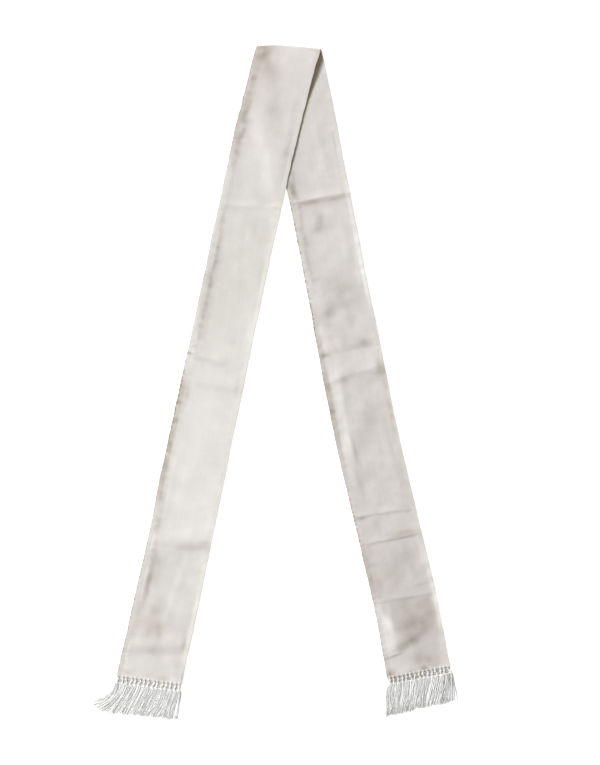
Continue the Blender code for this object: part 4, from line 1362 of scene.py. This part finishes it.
def add_strands(threads, end, head, draw):
    """One tassel's strands: wilder at the front end's left corner, worn at the rear's right."""
    part = head.centre / end.half
    age, wild, worn = end.stretch.strand_age, 1.0, 0.0
    if end.stretch is LEFT:
        wild += 0.8 * float(ease((-part - CORNER_START) / 0.2))
        age += 0.20 * float(ease((abs(part) - CORNER_START) / 0.30))
    else:
        worn = 0.45 * float(ease((part - WORN_START) / WORN_REACH))
        wild += 1.4 * worn
    edge = end.half + 0.0004
    knot_foot = head.across(KNOT_REACHES[1])
    for level, spread, swing, trim, dulled in strand_places(
            sizes().strands_per_tassel, wild, draw):
        spread = spread + draw.uniform(-0.04, 0.04)
        root = end.point(np.clip(knot_foot + spread * FOOT_WIDTH, -edge, edge),
                         KNOT_REACHES[1] + LAYER_STEP * (level % 2),
                         HEAD_HEIGHT + (level - 1) * LAYER_STEP)
        tip_share = (head.centre + spread * end.pitch) / end.half
        if worn > THINNED and draw.random() < LOST_SHARE:
            continue
        # The loose layer, which lies under the locks, is painted a little darker as shade.
        tone = age + dulled + worn * draw.uniform(0.2, 1.5) + (
            draw.uniform(0.0, 0.10) if level == 0 else draw.choice((0.0, 0.0, 0.0, 0.08)))
        if draw.random() < end.stretch.soiled:
            tone += draw.uniform(0.2, 0.5)
        add_strand(threads, end, root, tip_share, 0.97 + trim + draw.uniform(-0.035, 0.035),
                   swing + draw.uniform(-STRAY, STRAY), level, tone, draw)
    if draw.random() < 0.6:
        side = draw.uniform(-0.5, 0.5)
        root = end.point(knot_foot + side * 0.003, KNOT_REACHES[1], HEAD_HEIGHT + LAYER_STEP)
        add_strand(threads, end, root, (head.centre + side * end.pitch) / end.half,
                   draw.uniform(0.85, 1.06), draw.uniform(-14.0, 14.0), 3,
                   end.stretch.strand_age, draw)


def add_gap_shade(threads, end, draw):
    """Rows of buff thread behind the knots, worked in and out between the cords, standing in for
    the shade in the gaps between them.
    """
    places = np.linspace(-end.half + 0.0012, end.half - 0.0012, KNOTS_PER_END * 4 + 1)
    knots = (places + end.half) / end.pitch
    for row in range(GAP_SHADE_ROWS):
        weave = np.cos(2.0 * math.pi * knots + math.pi * (row % 2))
        below = (row - 0.2) * GAP_SHADE_PITCH + 0.00012 * weave
        threads.add(end.point(places, below, GAP_SHADE_HEIGHT + 0.00018 * weave), GAP_SHADE_RADIUS,
                    draw.uniform(*end.stretch.binding_age))


# Darkest colour of those rows: painted shade.
DARK_GAP_SHADE = (0.26, 0.235, 0.20)


def build_fringe(stretch, name, node):
    """One fringed end: heads, crossing threads and strands, and the rows of thread behind them that
    stand in for the shade between the knots.
    """
    end = FringedEnd(stretch)
    draw = random.Random(5 + stretch.side)
    threads, binding = Threads(5), Threads(6)
    heads = []
    for knot in range(KNOTS_PER_END):
        slip = KNOT_SLIP * math.sin(2.7 * knot + stretch.side)
        heads.append(Head((knot + 0.5) * end.pitch - end.half + slip, draw))
    for head in heads:
        add_head(threads, end, head, draw)
        add_strands(threads, end, head, draw)
    for head, following in zip(heads, heads[1:]):
        add_crossings(threads, end, head, following, draw)
    look = colours()
    finish = thread_finish(f"{name} rayon", look.rayon, look.rayon_aged, 0.0016, 0.42, 0.30)
    tassels = link_piece(f"{name}_tassels", threads.mesh(f"{name}_tassels"), finish)
    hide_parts(node)
    add_gap_shade(binding, end, draw)
    finish = thread_finish(f"{name} binding thread", look.binding, DARK_GAP_SHADE, 0.0012, 0.7, 0.1)
    link_piece(f"{name}_binding", binding.mesh(f"{name}_binding"), finish)


class STOLE_OT_fringes(Operator):
    """Knot a fringe on both ends of the stole"""

    bl_idname = "stole.fringes"
    bl_label = "Knot the fringes"

    def execute(self, context):
        build_fringe(LEFT, "left", "left_fringe")
        build_fringe(RIGHT, "right", "right_fringe")
        return {"FINISHED"}


# ---- Studio ----

FLOOR_SIZE = 90.0
FLOOR_DROP = 0.0002
CAMERA_PLACE = (0.0365, -0.0007, 2.2)
CAMERA_LENS = 72.4
CAMERA_SENSOR = 36.0
CAMERA_SIGHT = (0.05, 100.0)
KEY_DIRECTION = (-0.80, 0.50, 0.70)    # from the stole towards the key light
KEY_STRENGTH = 2.95
KEY_SOFTNESS = math.radians(16)
FILL_STRENGTH = 0.54


class STOLE_OT_studio(Operator):
    """Set up the pale floor, the soft lights and the camera above the stole"""

    bl_idname = "stole.studio"
    bl_label = "Set up the studio"

    def execute(self, context):
        bpy.ops.object.select_all(action="DESELECT")
        bpy.ops.mesh.primitive_plane_add(size=FLOOR_SIZE, location=(0.0, 0.0, -FLOOR_DROP))
        floor = context.active_object
        floor.name = "studio_floor"
        bpy.ops.object.transform_apply(location=True, rotation=True, scale=True)
        floor.data.materials.append(floor_finish())

        scene = context.scene
        scene.world = bpy.data.worlds.new("studio fill")
        scene.world.use_nodes = True
        background = scene.world.node_tree.nodes["Background"]
        background.inputs["Color"].default_value = WHITE
        background.inputs["Strength"].default_value = FILL_STRENGTH

        lamp = bpy.data.lights.new("soft key", "SUN")
        lamp.energy = KEY_STRENGTH
        lamp.angle = KEY_SOFTNESS
        key = bpy.data.objects.new("soft key", lamp)
        key.rotation_mode = "QUATERNION"
        key.rotation_quaternion = Vector(KEY_DIRECTION).to_track_quat("Z", "Y")
        scene.collection.objects.link(key)

        lens = bpy.data.cameras.new("camera above")
        lens.lens = CAMERA_LENS
        lens.sensor_width = CAMERA_SENSOR
        lens.clip_start, lens.clip_end = CAMERA_SIGHT
        scene.camera = bpy.data.objects.new("camera above", lens)
        scene.camera.location = CAMERA_PLACE
        scene.collection.objects.link(scene.camera)
        scene.view_settings.view_transform = "Standard"
        return {"FINISHED"}


# ---- Add-on ----

OPERATORS = (STOLE_OT_studio, STOLE_OT_cloth, STOLE_OT_hem_stitches, STOLE_OT_fringes)


class STOLE_PT_panel(Panel):
    """Sizes, colours and building steps of the stole"""

    bl_idname = "STOLE_PT_panel"
    bl_label = "Evening Stole"
    bl_space_type = "VIEW_3D"
    bl_region_type = "UI"
    bl_category = "Stole"

    def draw(self, context):
        for group in (context.scene.stole_sizes, context.scene.stole_colours):
            box = self.layout.box()
            for name in group.bl_rna.properties.keys():
                if name not in {"rna_type", "name"}:
                    box.prop(group, name)
        for operator in OPERATORS:
            self.layout.operator(operator.bl_idname)


CLASSES = (StoleSizes, StoleColours, *OPERATORS, STOLE_PT_panel)


def register():
    for item in CLASSES:
        bpy.utils.register_class(item)
    bpy.types.Scene.stole_sizes = PointerProperty(type=StoleSizes)
    bpy.types.Scene.stole_colours = PointerProperty(type=StoleColours)


def unregister():
    del bpy.types.Scene.stole_colours
    del bpy.types.Scene.stole_sizes
    for item in reversed(CLASSES):
        bpy.utils.unregister_class(item)


def main():
    register()
    for operator in OPERATORS:
        getattr(bpy.ops.stole, operator.bl_idname.split(".")[1])()


if __name__ == "__main__":
    main()
